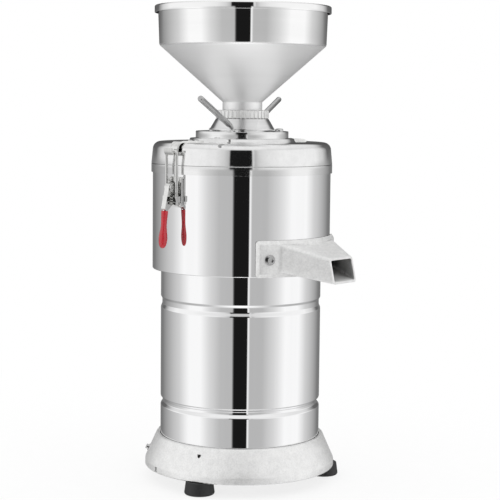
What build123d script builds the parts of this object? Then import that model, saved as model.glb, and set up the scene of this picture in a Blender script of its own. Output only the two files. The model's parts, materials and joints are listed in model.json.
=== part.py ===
from build123d import *
import math
import os

# Nut butter machine: an upright motor in a steel shell, a grinding bowl with a cast
# spout above it, a lid with an adjustable grinding head and a feed hopper on top.
# Units are millimetres. Z is the machine axis, the floor is z = 0 and the spout
# points along -Y. Angles are measured round the axis from the spout towards +X.

# Directions round the machine
spout_angle = 0
left_latch_angle = -95
right_latch_angle = left_latch_angle + 180
handle_angle = -70
flange_screw_angle = -61
foot_angle = 44
earth_screw_angle = -140
base_notch_angle = -109
rear_angle = 180
capacitor_angle = 90

# Feet and base casting
foot_count = 3
foot_ring_inset = 13
foot_bottom_radius = 21
foot_top_radius = 18.5
foot_height = 18
foot_edge_radius = 3
foot_recess_radius = 8
foot_recess_depth = 7
foot_screw_radius = 3
foot_screw_head_radius = 6
foot_screw_head_height = 4
foot_screw_length = 36
foot_boss_radius = 13
base_flare = 16
base_lip_width = 5.3
base_band_height = 9
base_band_round = 7
base_height = 45
base_wall = 5
base_deck_thickness = 6
base_lip_height = 4.5
deck_vent_radius = 40
deck_slot_count = 6
deck_slot_inset = 11.5
deck_slot_length = 26
deck_slot_width = 8
base_notch_width = 4.5
base_notch_height = 8.5
earth_screw_rise = 20.5
earth_screw_head_radius = 3.3
earth_washer_radius = 5
earth_screw_radius = 2

# Steel shells
sheet = 1.2
hole_clearance = 0.3
seat_gap = 0.1
cut_margin = 2
lower_shell_radius = 111.7
shell_step = 11.9
shell_gap = 0.6
upper_shell_bottom = 296
upper_shell_height = 133.8
low_bead_rise = 47
low_bead_depth = 3.5
low_bead_flat = 4
low_bead_side = 3.5
high_bead_drop = 46
high_bead_depth = 2
high_bead_flat = 8
high_bead_side = 4
bead_round = 1.8

# Grinding bowl
bowl_floor_thickness = 15
bowl_spigot_height = 10
bowl_side_gap = 10.4
bowl_wall = 8
bowl_flange_height = 5
rim_overhang = 2
rim_height = 11.9
rim_slope_height = 10
bowl_floor_round = 6
bowl_hub_radius = 30
bowl_hub_height = 17
port_half_angle = 38
port_height = 32
port_width = 100

# Spout
spout_flange_thickness = 4.8
spout_flange_half_angle = 40.8
spout_flange_drop = 0.5
spout_flange_height = 49.3
spout_flange_round = 2.2
spout_root_width = 121
spout_root_height = 42
spout_root_rise = 27.1
spout_root_inset = 14.6
spout_mouth_width = 50
spout_mouth_height = 34.7
spout_reach = 53.2
spout_fall = 17.2
spout_mouth_lean = 13
spout_wall = 3.2
gasket_thickness = 1
spout_bolt_angle = 32.5
spout_bolt_rise = 23.5
spout_bolt_radius = 3
spout_bolt_head_radius = 5
spout_bolt_head_height = 6
spout_bolt_length = 22
spout_washer_radius = 7
spout_washer_thickness = 1.2
hex_key_radius = 2.9
hex_key_depth = 3

# Lid
seam_gap = 0.2
lid_height = 29.9
lid_side_taper = 2.8
lid_shoulder_radius = 10.5
lid_thickness = 8.8
lid_set_back = 2
lid_boss_radius = 73
lid_boss_height = 4.9
lid_gasket_width = 5.6
lid_gasket_thickness = 1.9

# Threaded guide flange on the lid
flange_radius = 64.4
flange_thickness = 9.8
flange_bushing_radius = 40
flange_bushing_length = 18
flange_screw_ring = 54.6
flange_screw_count = 3
flange_screw_radius = 3
flange_screw_head_radius = 6
flange_screw_head_height = 3.6
flange_screw_length = 20

# Adjusting sleeve, hub, lock ring and handles
sleeve_outer_radius = 33
sleeve_bore_radius = 24
sleeve_flange_radius = 58
sleeve_flange_thickness = 12
hub_lift = 1.5
hub_height = 15.7
hub_bottom_radius = 45
hub_top_radius = 36.5
hub_lip_height = 2
ring_radius = 36.8
ring_height = 11.4
ring_gap = 0.2
ring_flutes = 38
ring_flute_radius = 1.5
handle_rise = 18.5
handle_root_inset = 1
handle_root_rise = 5.5
handle_rod_radius = 4
handle_neck_radius = 2.9
handle_neck_length = 12
handle_length = 119
handle_spigot_radius = 2.5
handle_spigot_length = 8

# Hopper
hopper_spigot_length = 37.5
hopper_collar_radius = 27.5
hopper_collar_height = 11
hopper_foot_height = 3.5
hopper_bore_radius = 21.5
hopper_cone_top_radius = 116.4
hopper_cone_height = 77.5
hopper_wall_height = 54
hopper_wall_flare = 2.2
hopper_lip_overhang = 4.4
hopper_lip_drop = 10
hopper_sheet = 1.2

# Grinding head
disc_gap = 0.6
disc_radius = 55
disc_thickness = 12
disc_bore_radius = 14
disc_groove_count = 16
disc_groove_width = 3
disc_groove_depth = 1.5
static_disc_depth = 68.9
static_bevel = 9
holder_plate_radius = 57
holder_plate_thickness = 8
holder_hub_radius = 22
holder_gap = 1.5
paddle_count = 3
paddle_thickness = 7
paddle_clearance = 2.5
paddle_tip_gap = 5
paddle_tip_height = 15
screw_core_radius = 13
screw_tip_radius = 8
screw_flange_radius = 19
screw_flange_height = 5
screw_height = 58
flight_radius = 21
flight_pitch = 25
flight_thickness = 3.5

# Motor
shaft_radius = 12.5
shaft_end_rise = 11.5
shaft_stub_radius = 8
shaft_stub_length = 14
shaft_hole_radius = 14
running_clearance = 0.05
bearing_outer_radius = 26
bearing_width = 15
stator_side_room = 35.5
stator_pack_depth = 33
stator_rise = 49.5
stator_drop = 48
winding_bore_step = 4
winding_side_step = 5
winding_height = 10
bell_wall = 5
bell_flange_width = 10
bell_foot_height = 7.5
bell_plate_thickness = 8
bell_overlap = 26
bell_hub_radius = 34
upper_bell_step = 10
stator_ledge = 2
bearing_cap = 4
bell_ledge_radius = 18
lower_bearing_rise = 17.5
upper_bearing_drop = 14
air_gap = 0.6
fan_hub_radius = 20
fan_side_step = 9
fan_height = 6
fan_rise = 11.5
fan_blade_count = 7
fan_blade_thickness = 2
seal_outer_radius = 20.1
seal_height = 10
capacitor_radius = 15
capacitor_height = 70
capacitor_drop = 98
capacitor_clip_height = 14
capacitor_clip_thickness = 1.5

# Switch and cable gland on the rear
switch_rise = 117
switch_bezel_width = 32
switch_bezel_height = 30
switch_bezel_stand = 2.4
switch_body_depth = 18
switch_opening_width = 18
switch_opening_height = 23
rocker_width = 17
rocker_half_height = 10
rocker_tilt = 8
rocker_pivot_inset = 4
gland_rise = 22
gland_boss_radius = 14
gland_boss_stand = 1
gland_hex_radius = 12
gland_hex_thickness = 5
gland_dome_radius = 9.5
gland_dome_length = 14
gland_thread_radius = 7.5
gland_thread_length = 12
gland_bore_radius = 4

# Toggle latches
catch_width = 15
catch_thickness = 2.5
catch_boss_gap = 7
catch_bend_radius = 10.5
hook_inner_radius = 4
hook_drop = 9.8
hook_lip_height = 3
bail_rod_radius = 2
bail_half_spacing = 10
bail_bend_radius = 2.5
bail_tail = 8.58
bail_seat_gap = 0.3
bail_inset = 1
trunnion_radius = 3
trunnion_block = 8
trunnion_inner = 7
trunnion_outer = 13.5
nut_radius = 3.8
nut_height = 3.2
pivot_stand = 9.4
pivot_drop = 17.8
pivot_pin_radius = 2.5
toggle_arm = 15
over_center = 6
cheek_inner = 4.5
cheek_thickness = 1.5
cheek_round = 6
latch_base_half_width = 13
latch_base_below = 26
latch_base_above = 15
latch_base_stand = 2.3
lever_half_thickness = 4
lever_wall = 1.5
lever_pivot_round = 6.4
lever_toggle_round = 4.9
lever_neck_round = 3.2
lever_neck_stand = 10
lever_neck_drop = 27
tang_half_thickness = 1.6
tang_width = 5
tang_length = 38
grip_lean = 4.5
grip_length = 50
grip_top_radius = 4.6
grip_waist_radius = 4.2
grip_bulb_radius = 5.6

# Heights and radii that follow from the sizes above
base_top = foot_height + base_height
base_top_radius = lower_shell_radius + base_lip_width
base_bottom_radius = base_top_radius + base_flare
foot_ring_radius = base_bottom_radius - foot_ring_inset
deck_top = base_top - base_lip_height
deck_bottom = deck_top - base_deck_thickness
earth_screw_height = foot_height + earth_screw_rise
lower_shell_inner = lower_shell_radius - sheet
deck_slot_radius = lower_shell_inner - deck_slot_inset
low_bead_height = base_top + low_bead_rise
high_bead_height = upper_shell_bottom - high_bead_drop
upper_shell_radius = lower_shell_radius + shell_step
upper_shell_inner = upper_shell_radius - sheet
upper_shell_top = upper_shell_bottom + upper_shell_height
bowl_bottom = upper_shell_bottom - bowl_spigot_height
bowl_floor = bowl_bottom + bowl_floor_thickness
bowl_outer_radius = upper_shell_inner - bowl_side_gap
bowl_inner_radius = bowl_outer_radius - bowl_wall
bowl_hub_top = bowl_floor + bowl_hub_height
rim_radius = upper_shell_radius + rim_overhang
rim_top = upper_shell_top + rim_height
port_bottom = bowl_floor + 1
spout_face_radius = upper_shell_radius + gasket_thickness
spout_flange_bottom = upper_shell_bottom - spout_flange_drop
spout_flange_top = spout_flange_bottom + spout_flange_height
spout_root_center = upper_shell_bottom + spout_root_rise
spout_root_distance = spout_face_radius - spout_root_inset
spout_mouth_center = spout_root_center - spout_fall
spout_mouth_distance = spout_face_radius + spout_reach
spout_bolt_height = upper_shell_bottom + spout_bolt_rise
lid_bottom = rim_top + seam_gap
lid_top = lid_bottom + lid_height
lid_inner_radius = bowl_inner_radius + lid_set_back
boss_top = lid_top + lid_boss_height
flange_top = boss_top + flange_thickness
hub_bottom = flange_top + hub_lift
hub_top = hub_bottom + hub_height
sleeve_top = hub_top + ring_gap + ring_height
handle_start_radius = hub_bottom_radius - handle_root_inset
handle_start_height = hub_bottom + handle_root_rise
hopper_lip_radius = hopper_cone_top_radius + hopper_wall_flare + hopper_lip_overhang
static_disc_top = lid_bottom - static_disc_depth
static_disc_bottom = static_disc_top - disc_thickness + disc_gap
rotating_disc_top = static_disc_bottom - disc_gap
rotating_disc_bottom = rotating_disc_top - disc_thickness
holder_plate_bottom = rotating_disc_bottom - holder_plate_thickness
shaft_bottom = deck_top + shaft_end_rise
stator_radius = lower_shell_inner - stator_side_room
stator_bottom = deck_top + stator_rise
stator_top = bowl_bottom - stator_drop
stator_height = stator_top - stator_bottom
stator_bore_radius = stator_radius - stator_pack_depth
winding_inner_radius = stator_bore_radius + winding_bore_step
winding_outer_radius = stator_radius - winding_side_step
bell_flange_radius = stator_radius + bell_flange_width
lower_bearing_bottom = deck_top + lower_bearing_rise
upper_bearing_top = bowl_bottom - upper_bearing_drop
fan_radius = stator_radius - fan_side_step
fan_bottom = stator_top + fan_rise
capacitor_bottom = stator_top - capacitor_drop
switch_height = base_top + switch_rise
gland_height = foot_height + gland_rise
gland_boss_reach = base_bottom_radius + gland_boss_stand
pivot_radius_out = upper_shell_radius + pivot_stand
pivot_height = upper_shell_top - pivot_drop
toggle_radius_out = pivot_radius_out - toggle_arm * math.sin(math.radians(over_center))
toggle_height = pivot_height - toggle_arm * math.cos(math.radians(over_center))
catch_start_radius = lid_boss_radius + catch_boss_gap
catch_face = rim_radius + hole_clearance
hook_center_radius = catch_face + catch_thickness + hook_inner_radius
hook_center_height = lid_top - hook_drop
bail_height = hook_center_height - hook_inner_radius + bail_rod_radius + bail_seat_gap
bail_radius_out = hook_center_radius - bail_inset
bail_bottom = toggle_height - bail_tail
latch_base_bottom = pivot_height - latch_base_below
latch_base_top = pivot_height + latch_base_above
lever_neck_radius = pivot_radius_out + lever_neck_stand
lever_neck_height = pivot_height - lever_neck_drop


def outward(angle):
    """Unit vector that points away from the machine axis at an angle from the spout."""
    turn = math.radians(angle)
    return Vector(math.sin(turn), -math.cos(turn), 0)


def radial_section(angle):
    """Upright plane through the axis: its x runs outward and its y runs up."""
    out = outward(angle)
    return Plane(origin=(0, 0, 0), x_dir=out, z_dir=out.cross(Vector(0, 0, 1)))


def facing_plane(angle, radius, height):
    """Upright plane that faces outward: its x runs sideways and its y runs up."""
    out = outward(angle)
    spot = out * radius + Vector(0, 0, height)
    return Plane(origin=spot, x_dir=Vector(0, 0, 1).cross(out), z_dir=out)


def corners(sketch, *points):
    """Corners of a sketch that lie nearest to the given points."""
    return [sketch.vertices().sort_by_distance((*point, 0))[0] for point in points]


os.makedirs("parts", exist_ok=True)

# Base casting: flared skirt, deck with air slots, foot bosses and a boss for the gland
slope_run = base_bottom_radius - base_top_radius
slope_rise = base_height - base_band_height
band_top = foot_height + base_band_height
deck_rim = base_top_radius - base_wall
foot_places = PolarLocations(foot_ring_radius, foot_count, start_angle=foot_angle - 90)

with BuildPart() as base_cavity:
    with BuildSketch(Plane.XZ) as cavity_outline:
        with BuildLine():
            Polyline(
                (0, foot_height - 1),
                (base_bottom_radius - base_wall, foot_height - 1),
                (base_bottom_radius - base_wall, band_top),
                (deck_rim, deck_bottom),
                (0, deck_bottom),
                close=True,
            )
        make_face()
    revolve(axis=Axis.Z)
    with BuildSketch(Plane.XY.offset(foot_height - 1)):
        with foot_places:
            Circle(foot_boss_radius)
    extrude(amount=base_height, mode=Mode.SUBTRACT)
    with BuildSketch(facing_plane(rear_angle, gland_boss_reach, gland_height)):
        Circle(gland_boss_radius)
    extrude(amount=-gland_thread_length - base_wall, mode=Mode.SUBTRACT)

with BuildPart() as base_casting:
    with BuildSketch(Plane.XZ) as skirt_outline:
        with BuildLine():
            Polyline(
                (0, foot_height),
                (base_bottom_radius, foot_height),
                (base_bottom_radius, band_top),
                (base_top_radius, base_top),
                (lower_shell_radius + shell_gap, base_top),
                (lower_shell_radius + shell_gap, deck_top),
                (0, deck_top),
                close=True,
            )
        make_face()
        fillet(corners(skirt_outline, (base_bottom_radius, band_top)), base_band_round)
        fillet(corners(skirt_outline, (base_bottom_radius, foot_height)), 1.5)
        fillet(corners(skirt_outline, (base_top_radius, base_top)), 2.5)
    revolve(axis=Axis.Z)
    with BuildSketch(facing_plane(rear_angle, gland_boss_reach, gland_height)):
        Circle(gland_boss_radius)
    extrude(amount=-gland_thread_length - base_wall)
    add(base_cavity.part, mode=Mode.SUBTRACT)
    with BuildSketch(Plane.XY.offset(deck_top)):
        Circle(deck_vent_radius)
        with PolarLocations(deck_slot_radius, deck_slot_count):
            SlotOverall(deck_slot_length, deck_slot_width, rotation=90)
    extrude(amount=-base_deck_thickness, mode=Mode.SUBTRACT)
    with BuildSketch(Plane.XY.offset(foot_height)):
        with foot_places:
            Circle(foot_screw_radius + running_clearance)
    extrude(amount=foot_screw_length, mode=Mode.SUBTRACT)
    with BuildSketch(facing_plane(base_notch_angle, base_bottom_radius + 1, foot_height)):
        Rectangle(base_notch_width, 2 * base_notch_height)
    extrude(amount=-base_wall - cut_margin, mode=Mode.SUBTRACT)
    with BuildSketch(facing_plane(rear_angle, gland_boss_reach, gland_height)):
        Circle(gland_thread_radius)
    extrude(amount=-gland_thread_length - base_wall, mode=Mode.SUBTRACT)
    earth_radius = base_bottom_radius - slope_run * (earth_screw_height - band_top) / slope_rise
    earth_normal = outward(earth_screw_angle) * slope_rise + Vector(0, 0, slope_run)
    earth_spot = outward(earth_screw_angle) * earth_radius + Vector(0, 0, earth_screw_height)
    earth_plane = Plane(origin=earth_spot, z_dir=earth_normal)
    with BuildSketch(earth_plane):
        Circle(earth_screw_radius)
    extrude(amount=-2 * base_wall, mode=Mode.SUBTRACT)
base_casting.part.label = "base_casting"
export_step(base_casting.part, "parts/base_casting.step")

# Rubber feet, each a tapered pad with a recessed screw
for index, place in enumerate(foot_places, start=1):
    foot_axis = Axis(place.position, (0, 0, 1))
    foot_plane = Plane(origin=place.position, x_dir=(1, 0, 0), z_dir=(0, -1, 0))
    with BuildPart() as rubber_foot:
        with BuildSketch(foot_plane) as foot_outline:
            with BuildLine():
                Polyline(
                    (foot_screw_radius + hole_clearance, foot_recess_depth),
                    (foot_recess_radius, foot_recess_depth),
                    (foot_recess_radius, 0),
                    (foot_bottom_radius, 0),
                    (foot_top_radius, foot_height),
                    (foot_screw_radius + hole_clearance, foot_height),
                    close=True,
                )
            make_face()
            fillet(corners(foot_outline, (foot_bottom_radius, 0)), foot_edge_radius)
            fillet(corners(foot_outline, (foot_top_radius, foot_height)), 1)
        revolve(axis=foot_axis)
    rubber_foot.part.label = f"rubber_foot_{index}"
    export_step(rubber_foot.part, f"parts/rubber_foot_{index}.step")

    with BuildPart() as foot_screw:
        with BuildSketch(foot_plane) as foot_screw_outline:
            with BuildLine():
                Polyline(
                    (0, foot_recess_depth - foot_screw_head_height),
                    (foot_screw_head_radius, foot_recess_depth - foot_screw_head_height),
                    (foot_screw_head_radius, foot_recess_depth),
                    (foot_screw_radius, foot_recess_depth),
                    (foot_screw_radius, foot_recess_depth + foot_screw_length),
                    (0, foot_recess_depth + foot_screw_length),
                    close=True,
                )
            make_face()
        revolve(axis=foot_axis)
    foot_screw.part.label = f"foot_screw_{index}"
    export_step(foot_screw.part, f"parts/foot_screw_{index}.step")

# Earth screw with its washer, square to the sloping skirt
with BuildPart() as earth_screw:
    with BuildSketch(earth_plane):
        Circle(earth_washer_radius)
    extrude(amount=1)
    with BuildSketch(earth_plane.offset(1)):
        Circle(earth_screw_head_radius)
    extrude(amount=3.6)
    fillet(earth_screw.faces().sort_by_distance(earth_plane.offset(9).origin)[0].edges(), 1)
    with BuildSketch(earth_plane):
        Circle(earth_screw_radius - running_clearance)
    extrude(amount=-2 * base_wall)
earth_screw.part.label = "earth_screw"
export_step(earth_screw.part, "parts/earth_screw.step")

# Cable gland, empty, in the rear boss
with BuildPart() as cable_gland:
    gland_face = facing_plane(rear_angle, gland_boss_reach, gland_height)
    with BuildSketch(gland_face):
        Circle(gland_thread_radius - running_clearance)
    extrude(amount=-gland_thread_length)
    with BuildSketch(gland_face):
        RegularPolygon(gland_hex_radius, 6)
    extrude(amount=gland_hex_thickness)
    with BuildSketch(gland_face.offset(gland_hex_thickness)):
        Circle(gland_dome_radius)
    extrude(amount=gland_dome_length)
    fillet(cable_gland.faces().sort_by(Axis.Y)[-1].edges(), 4)
    with BuildSketch(gland_face.offset(gland_hex_thickness + gland_dome_length)):
        Circle(gland_bore_radius)
    gland_total = gland_dome_length + gland_hex_thickness + gland_thread_length
    extrude(amount=-gland_total, mode=Mode.SUBTRACT)
cable_gland.part.label = "cable_gland"
export_step(cable_gland.part, "parts/cable_gland.step")


def bead(height, depth, flat, side, radius):
    """Outline points of one inward bead, from below to above."""
    low = height - flat / 2
    high = height + flat / 2
    return [(radius, low - side), (radius - depth, low), (radius - depth, high), (radius, high + side)]


# Lower shell: thin tube with two inward beads and an opening for the switch
with BuildPart() as lower_shell:
    with BuildSketch(Plane.XZ) as lower_outline:
        low_bead = bead(low_bead_height, low_bead_depth, low_bead_flat, low_bead_side, lower_shell_radius)
        high_bead = bead(
            high_bead_height, high_bead_depth, high_bead_flat, high_bead_side, lower_shell_radius
        )
        outside = [
            (lower_shell_radius, deck_top),
            *low_bead,
            *high_bead,
            (lower_shell_radius, upper_shell_bottom),
        ]
        inside = [(radius - sheet, height) for radius, height in reversed(outside)]
        with BuildLine():
            Polyline(*outside, *inside, close=True)
        make_face()
        bead_corners = corners(lower_outline, *outside[1:-1], *inside[1:-1])
        fillet(bead_corners, bead_round)
    revolve(axis=Axis.Z)
    with BuildSketch(facing_plane(rear_angle, lower_shell_radius + 5, switch_height)):
        Rectangle(switch_opening_width + 4, switch_opening_height + 4)
    extrude(amount=-20, mode=Mode.SUBTRACT)
lower_shell.part.label = "lower_shell"
export_step(lower_shell.part, "parts/lower_shell.step")

# Upper shell: plain tube with a window for the spout port
with BuildPart() as upper_shell:
    with BuildSketch(Plane.XY.offset(upper_shell_bottom)):
        Circle(upper_shell_radius)
        Circle(upper_shell_inner, mode=Mode.SUBTRACT)
    extrude(amount=upper_shell_top - upper_shell_bottom)
    with BuildSketch(facing_plane(spout_angle, upper_shell_radius, port_bottom + port_height / 2)):
        RectangleRounded(port_width, port_height, 6)
    extrude(amount=-40, mode=Mode.SUBTRACT)
    for side in (-1, 1):
        with BuildSketch(facing_plane(side * spout_bolt_angle, upper_shell_radius + 5, spout_bolt_height)):
            Circle(spout_bolt_radius + running_clearance)
        extrude(amount=-20, mode=Mode.SUBTRACT)
upper_shell.part.label = "upper_shell"
export_step(upper_shell.part, "parts/upper_shell.step")

# Grinding bowl: cast bowl with a rim, a seal hub, a spigot and the outlet port
with BuildPart() as grinding_bowl:
    with BuildSketch(Plane.XZ) as bowl_outline:
        with BuildLine():
            Polyline(
                (shaft_hole_radius, bowl_bottom),
                (lower_shell_inner - seat_gap, bowl_bottom),
                (lower_shell_inner - seat_gap, upper_shell_bottom),
                (upper_shell_inner - seat_gap, upper_shell_bottom),
                (upper_shell_inner - seat_gap, upper_shell_bottom + bowl_flange_height),
                (bowl_outer_radius, upper_shell_bottom + bowl_flange_height),
                (bowl_outer_radius, upper_shell_top - rim_slope_height),
                (upper_shell_inner - seat_gap, upper_shell_top),
                (rim_radius, upper_shell_top),
                (rim_radius, rim_top),
                (bowl_inner_radius, rim_top),
                (bowl_inner_radius, bowl_floor),
                (bowl_hub_radius, bowl_floor),
                (bowl_hub_radius - 2, bowl_hub_top),
                (seal_outer_radius + seat_gap, bowl_hub_top),
                (seal_outer_radius + seat_gap, bowl_hub_top - seal_height),
                (shaft_hole_radius, bowl_hub_top - seal_height),
                close=True,
            )
        make_face()
        fillet(corners(bowl_outline, (bowl_inner_radius, bowl_floor)), bowl_floor_round)
        fillet(corners(bowl_outline, (bowl_hub_radius, bowl_floor)), 3)
        fillet(corners(bowl_outline, (rim_radius, rim_top)), 0.6)
    revolve(axis=Axis.Z)
    with BuildSketch(radial_section(spout_angle - port_half_angle)):
        with BuildLine():
            Polyline(
                (bowl_outer_radius - 1, upper_shell_bottom + bowl_flange_height - 1),
                (upper_shell_inner - hole_clearance, upper_shell_bottom + bowl_flange_height - 1),
                (upper_shell_inner - hole_clearance, spout_flange_top),
                (bowl_outer_radius - 1, spout_flange_top),
                close=True,
            )
        make_face()
    revolve(axis=Axis.Z, revolution_arc=2 * port_half_angle)
    port_center = port_bottom + port_height / 2
    with BuildSketch(facing_plane(spout_angle, upper_shell_radius, port_center)):
        RectangleRounded(port_width, port_height, 6)
    extrude(amount=-50, mode=Mode.SUBTRACT)
    for side in (-1, 1):
        with BuildSketch(facing_plane(side * spout_bolt_angle, upper_shell_radius, spout_bolt_height)):
            Circle(spout_bolt_radius + running_clearance)
        extrude(amount=-spout_bolt_length, mode=Mode.SUBTRACT)
grinding_bowl.part.label = "grinding_bowl"
export_step(grinding_bowl.part, "parts/grinding_bowl.step")

# Lip seal in the bowl hub
with BuildPart() as shaft_seal:
    with BuildSketch(Plane.XY.offset(bowl_hub_top - seal_height)):
        Circle(seal_outer_radius)
        Circle(shaft_radius + running_clearance, mode=Mode.SUBTRACT)
    extrude(amount=seal_height)
shaft_seal.part.label = "shaft_seal"
export_step(shaft_seal.part, "parts/shaft_seal.step")

# Spout gasket: a thin curved strip between the shell and the spout flange
with BuildPart() as spout_gasket:
    with BuildSketch(radial_section(spout_angle - spout_flange_half_angle + 1)):
        with BuildLine():
            Polyline(
                (upper_shell_radius, upper_shell_bottom + 0.5),
                (spout_face_radius, upper_shell_bottom + 0.5),
                (spout_face_radius, spout_flange_top - 1),
                (upper_shell_radius, spout_flange_top - 1),
                close=True,
            )
        make_face()
    revolve(axis=Axis.Z, revolution_arc=2 * spout_flange_half_angle - 2)
    with BuildSketch(facing_plane(spout_angle, spout_face_radius, port_center)):
        RectangleRounded(port_width, port_height, 6)
    extrude(amount=-40, mode=Mode.SUBTRACT)
    for side in (-1, 1):
        with BuildSketch(facing_plane(side * spout_bolt_angle, spout_face_radius + 2, spout_bolt_height)):
            Circle(spout_bolt_radius + running_clearance)
        extrude(amount=-10, mode=Mode.SUBTRACT)
spout_gasket.part.label = "spout_gasket"
export_step(spout_gasket.part, "parts/spout_gasket.step")

# Cast spout: curved flange and a rectangular channel that narrows and falls to its mouth
root_plane = Plane(
    origin=(0, -spout_root_distance, spout_root_center), x_dir=(1, 0, 0), z_dir=(0, -1, 0)
)
mouth_lean = math.radians(spout_mouth_lean)
mouth_plane = Plane(
    origin=(0, -spout_mouth_distance, spout_mouth_center),
    x_dir=(1, 0, 0),
    z_dir=(0, -math.cos(mouth_lean), math.sin(mouth_lean)),
)
flange_outer = spout_face_radius + spout_flange_thickness

with BuildPart() as spout_channel:
    with BuildSketch(root_plane):
        RectangleRounded(spout_root_width - 2 * spout_wall, spout_root_height - 2 * spout_wall, 5)
    with BuildSketch(mouth_plane):
        RectangleRounded(spout_mouth_width - 2 * spout_wall, spout_mouth_height - 2 * spout_wall, 2)
    loft()

with BuildPart() as spout_horn:
    with BuildSketch(root_plane):
        RectangleRounded(spout_root_width, spout_root_height, 8)
    with BuildSketch(mouth_plane):
        RectangleRounded(spout_mouth_width, spout_mouth_height, 4.5)
    loft()
    with BuildSketch(Plane.XY.offset(spout_flange_bottom - 10)):
        Circle(spout_face_radius + 1)
    extrude(amount=80, mode=Mode.SUBTRACT)

with BuildPart() as spout:
    with BuildSketch(radial_section(spout_angle - spout_flange_half_angle)):
        with BuildLine():
            Polyline(
                (spout_face_radius, spout_flange_bottom),
                (flange_outer, spout_flange_bottom),
                (flange_outer, spout_flange_top),
                (spout_face_radius, spout_flange_top),
                close=True,
            )
        make_face()
    revolve(axis=Axis.Z, revolution_arc=2 * spout_flange_half_angle)
    upright_ends = spout.edges().filter_by(GeomType.LINE).filter_by(Axis.Z)
    fillet([edge for edge in upright_ends if edge.center().X ** 2 + edge.center().Y ** 2
            > (flange_outer - 1) ** 2], spout_flange_round)
    add(spout_horn.part)
    add(spout_channel.part, mode=Mode.SUBTRACT)
    for side in (-1, 1):
        with BuildSketch(facing_plane(side * spout_bolt_angle, flange_outer + 2, spout_bolt_height)):
            Circle(spout_bolt_radius + running_clearance)
        extrude(amount=-12, mode=Mode.SUBTRACT)
spout.part.label = "spout"
export_step(spout.part, "parts/spout.step")

# Cap screws of the spout, each with a washer
for side, side_name in ((-1, "left"), (1, "right")):
    bolt_plane = facing_plane(side * spout_bolt_angle, flange_outer, spout_bolt_height)
    with BuildPart() as spout_bolt:
        with BuildSketch(bolt_plane):
            Circle(spout_washer_radius)
        extrude(amount=spout_washer_thickness)
        with BuildSketch(bolt_plane.offset(spout_washer_thickness)):
            Circle(spout_bolt_head_radius)
        extrude(amount=spout_bolt_head_height)
        with BuildSketch(bolt_plane.offset(spout_washer_thickness + spout_bolt_head_height)):
            RegularPolygon(hex_key_radius, 6)
        extrude(amount=-hex_key_depth, mode=Mode.SUBTRACT)
        with BuildSketch(bolt_plane):
            Circle(spout_bolt_radius)
        extrude(amount=-spout_bolt_length)
    spout_bolt.part.label = f"{side_name}_spout_bolt"
    export_step(spout_bolt.part, f"parts/{side_name}_spout_bolt.step")

# Lid: polished casting with a rounded shoulder and a low boss for the guide flange
with BuildPart() as lid:
    with BuildSketch(Plane.XZ) as lid_outline:
        with BuildLine():
            Polyline(
                (rim_radius, lid_bottom),
                (rim_radius - lid_side_taper, lid_top),
                (lid_boss_radius, lid_top),
                (lid_boss_radius - 1, boss_top),
                (flange_bushing_radius + seat_gap, boss_top),
                (flange_bushing_radius + seat_gap, lid_top - lid_thickness),
                (lid_inner_radius, lid_top - lid_thickness),
                (lid_inner_radius, rim_top + lid_gasket_thickness),
                (lid_inner_radius + lid_gasket_width + 4 * seat_gap, rim_top + lid_gasket_thickness),
                (lid_inner_radius + lid_gasket_width + 4 * seat_gap, lid_bottom),
                close=True,
            )
        make_face()
        fillet(corners(lid_outline, (rim_radius - lid_side_taper, lid_top)), lid_shoulder_radius)
        fillet(corners(lid_outline, (lid_inner_radius, lid_top - lid_thickness)), 6)
        fillet(corners(lid_outline, (lid_boss_radius - 1, boss_top)), 0.8)
    revolve(axis=Axis.Z)
    with BuildSketch(Plane.XY.offset(boss_top)):
        with PolarLocations(flange_screw_ring, flange_screw_count, start_angle=flange_screw_angle - 90):
            Circle(flange_screw_radius + running_clearance)
    extrude(amount=-flange_screw_length + flange_thickness, mode=Mode.SUBTRACT)
lid.part.label = "lid"
export_step(lid.part, "parts/lid.step")

# Flat lid gasket
with BuildPart() as lid_gasket:
    with BuildSketch(Plane.XY.offset(rim_top)):
        Circle(lid_inner_radius + lid_gasket_width)
        Circle(lid_inner_radius + 2 * seat_gap, mode=Mode.SUBTRACT)
    extrude(amount=lid_gasket_thickness)
lid_gasket.part.label = "lid_gasket"
export_step(lid_gasket.part, "parts/lid_gasket.step")

# Guide flange with its threaded bushing through the lid
with BuildPart() as guide_flange:
    with BuildSketch(Plane.XZ) as guide_outline:
        with BuildLine():
            Polyline(
                (sleeve_outer_radius + running_clearance, boss_top - flange_bushing_length),
                (flange_bushing_radius, boss_top - flange_bushing_length),
                (flange_bushing_radius, boss_top),
                (flange_radius, boss_top),
                (flange_radius, flange_top),
                (sleeve_outer_radius + running_clearance, flange_top),
                close=True,
            )
        make_face()
        chamfer(corners(guide_outline, (flange_radius, flange_top)), 0.8)
    revolve(axis=Axis.Z)
    with BuildSketch(Plane.XY.offset(flange_top)):
        with PolarLocations(flange_screw_ring, flange_screw_count, start_angle=flange_screw_angle - 90):
            Circle(flange_screw_radius + running_clearance)
    extrude(amount=-flange_thickness, mode=Mode.SUBTRACT)
guide_flange.part.label = "guide_flange"
export_step(guide_flange.part, "parts/guide_flange.step")

# Dome screws of the guide flange
screw_places = PolarLocations(flange_screw_ring, flange_screw_count, start_angle=flange_screw_angle - 90)
for index, place in enumerate(screw_places, start=1):
    with BuildPart() as flange_screw:
        with BuildSketch(Plane.XY.offset(flange_top)):
            with Locations(place.position):
                Circle(flange_screw_head_radius)
        extrude(amount=flange_screw_head_height)
        fillet(flange_screw.edges().sort_by(Axis.Z)[-1], flange_screw_head_height - 0.8)
        with BuildSketch(Plane.XY.offset(flange_top)):
            with Locations(place.position):
                Circle(flange_screw_radius)
        extrude(amount=-flange_screw_length)
    flange_screw.part.label = f"flange_screw_{index}"
    export_step(flange_screw.part, f"parts/flange_screw_{index}.step")

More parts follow.
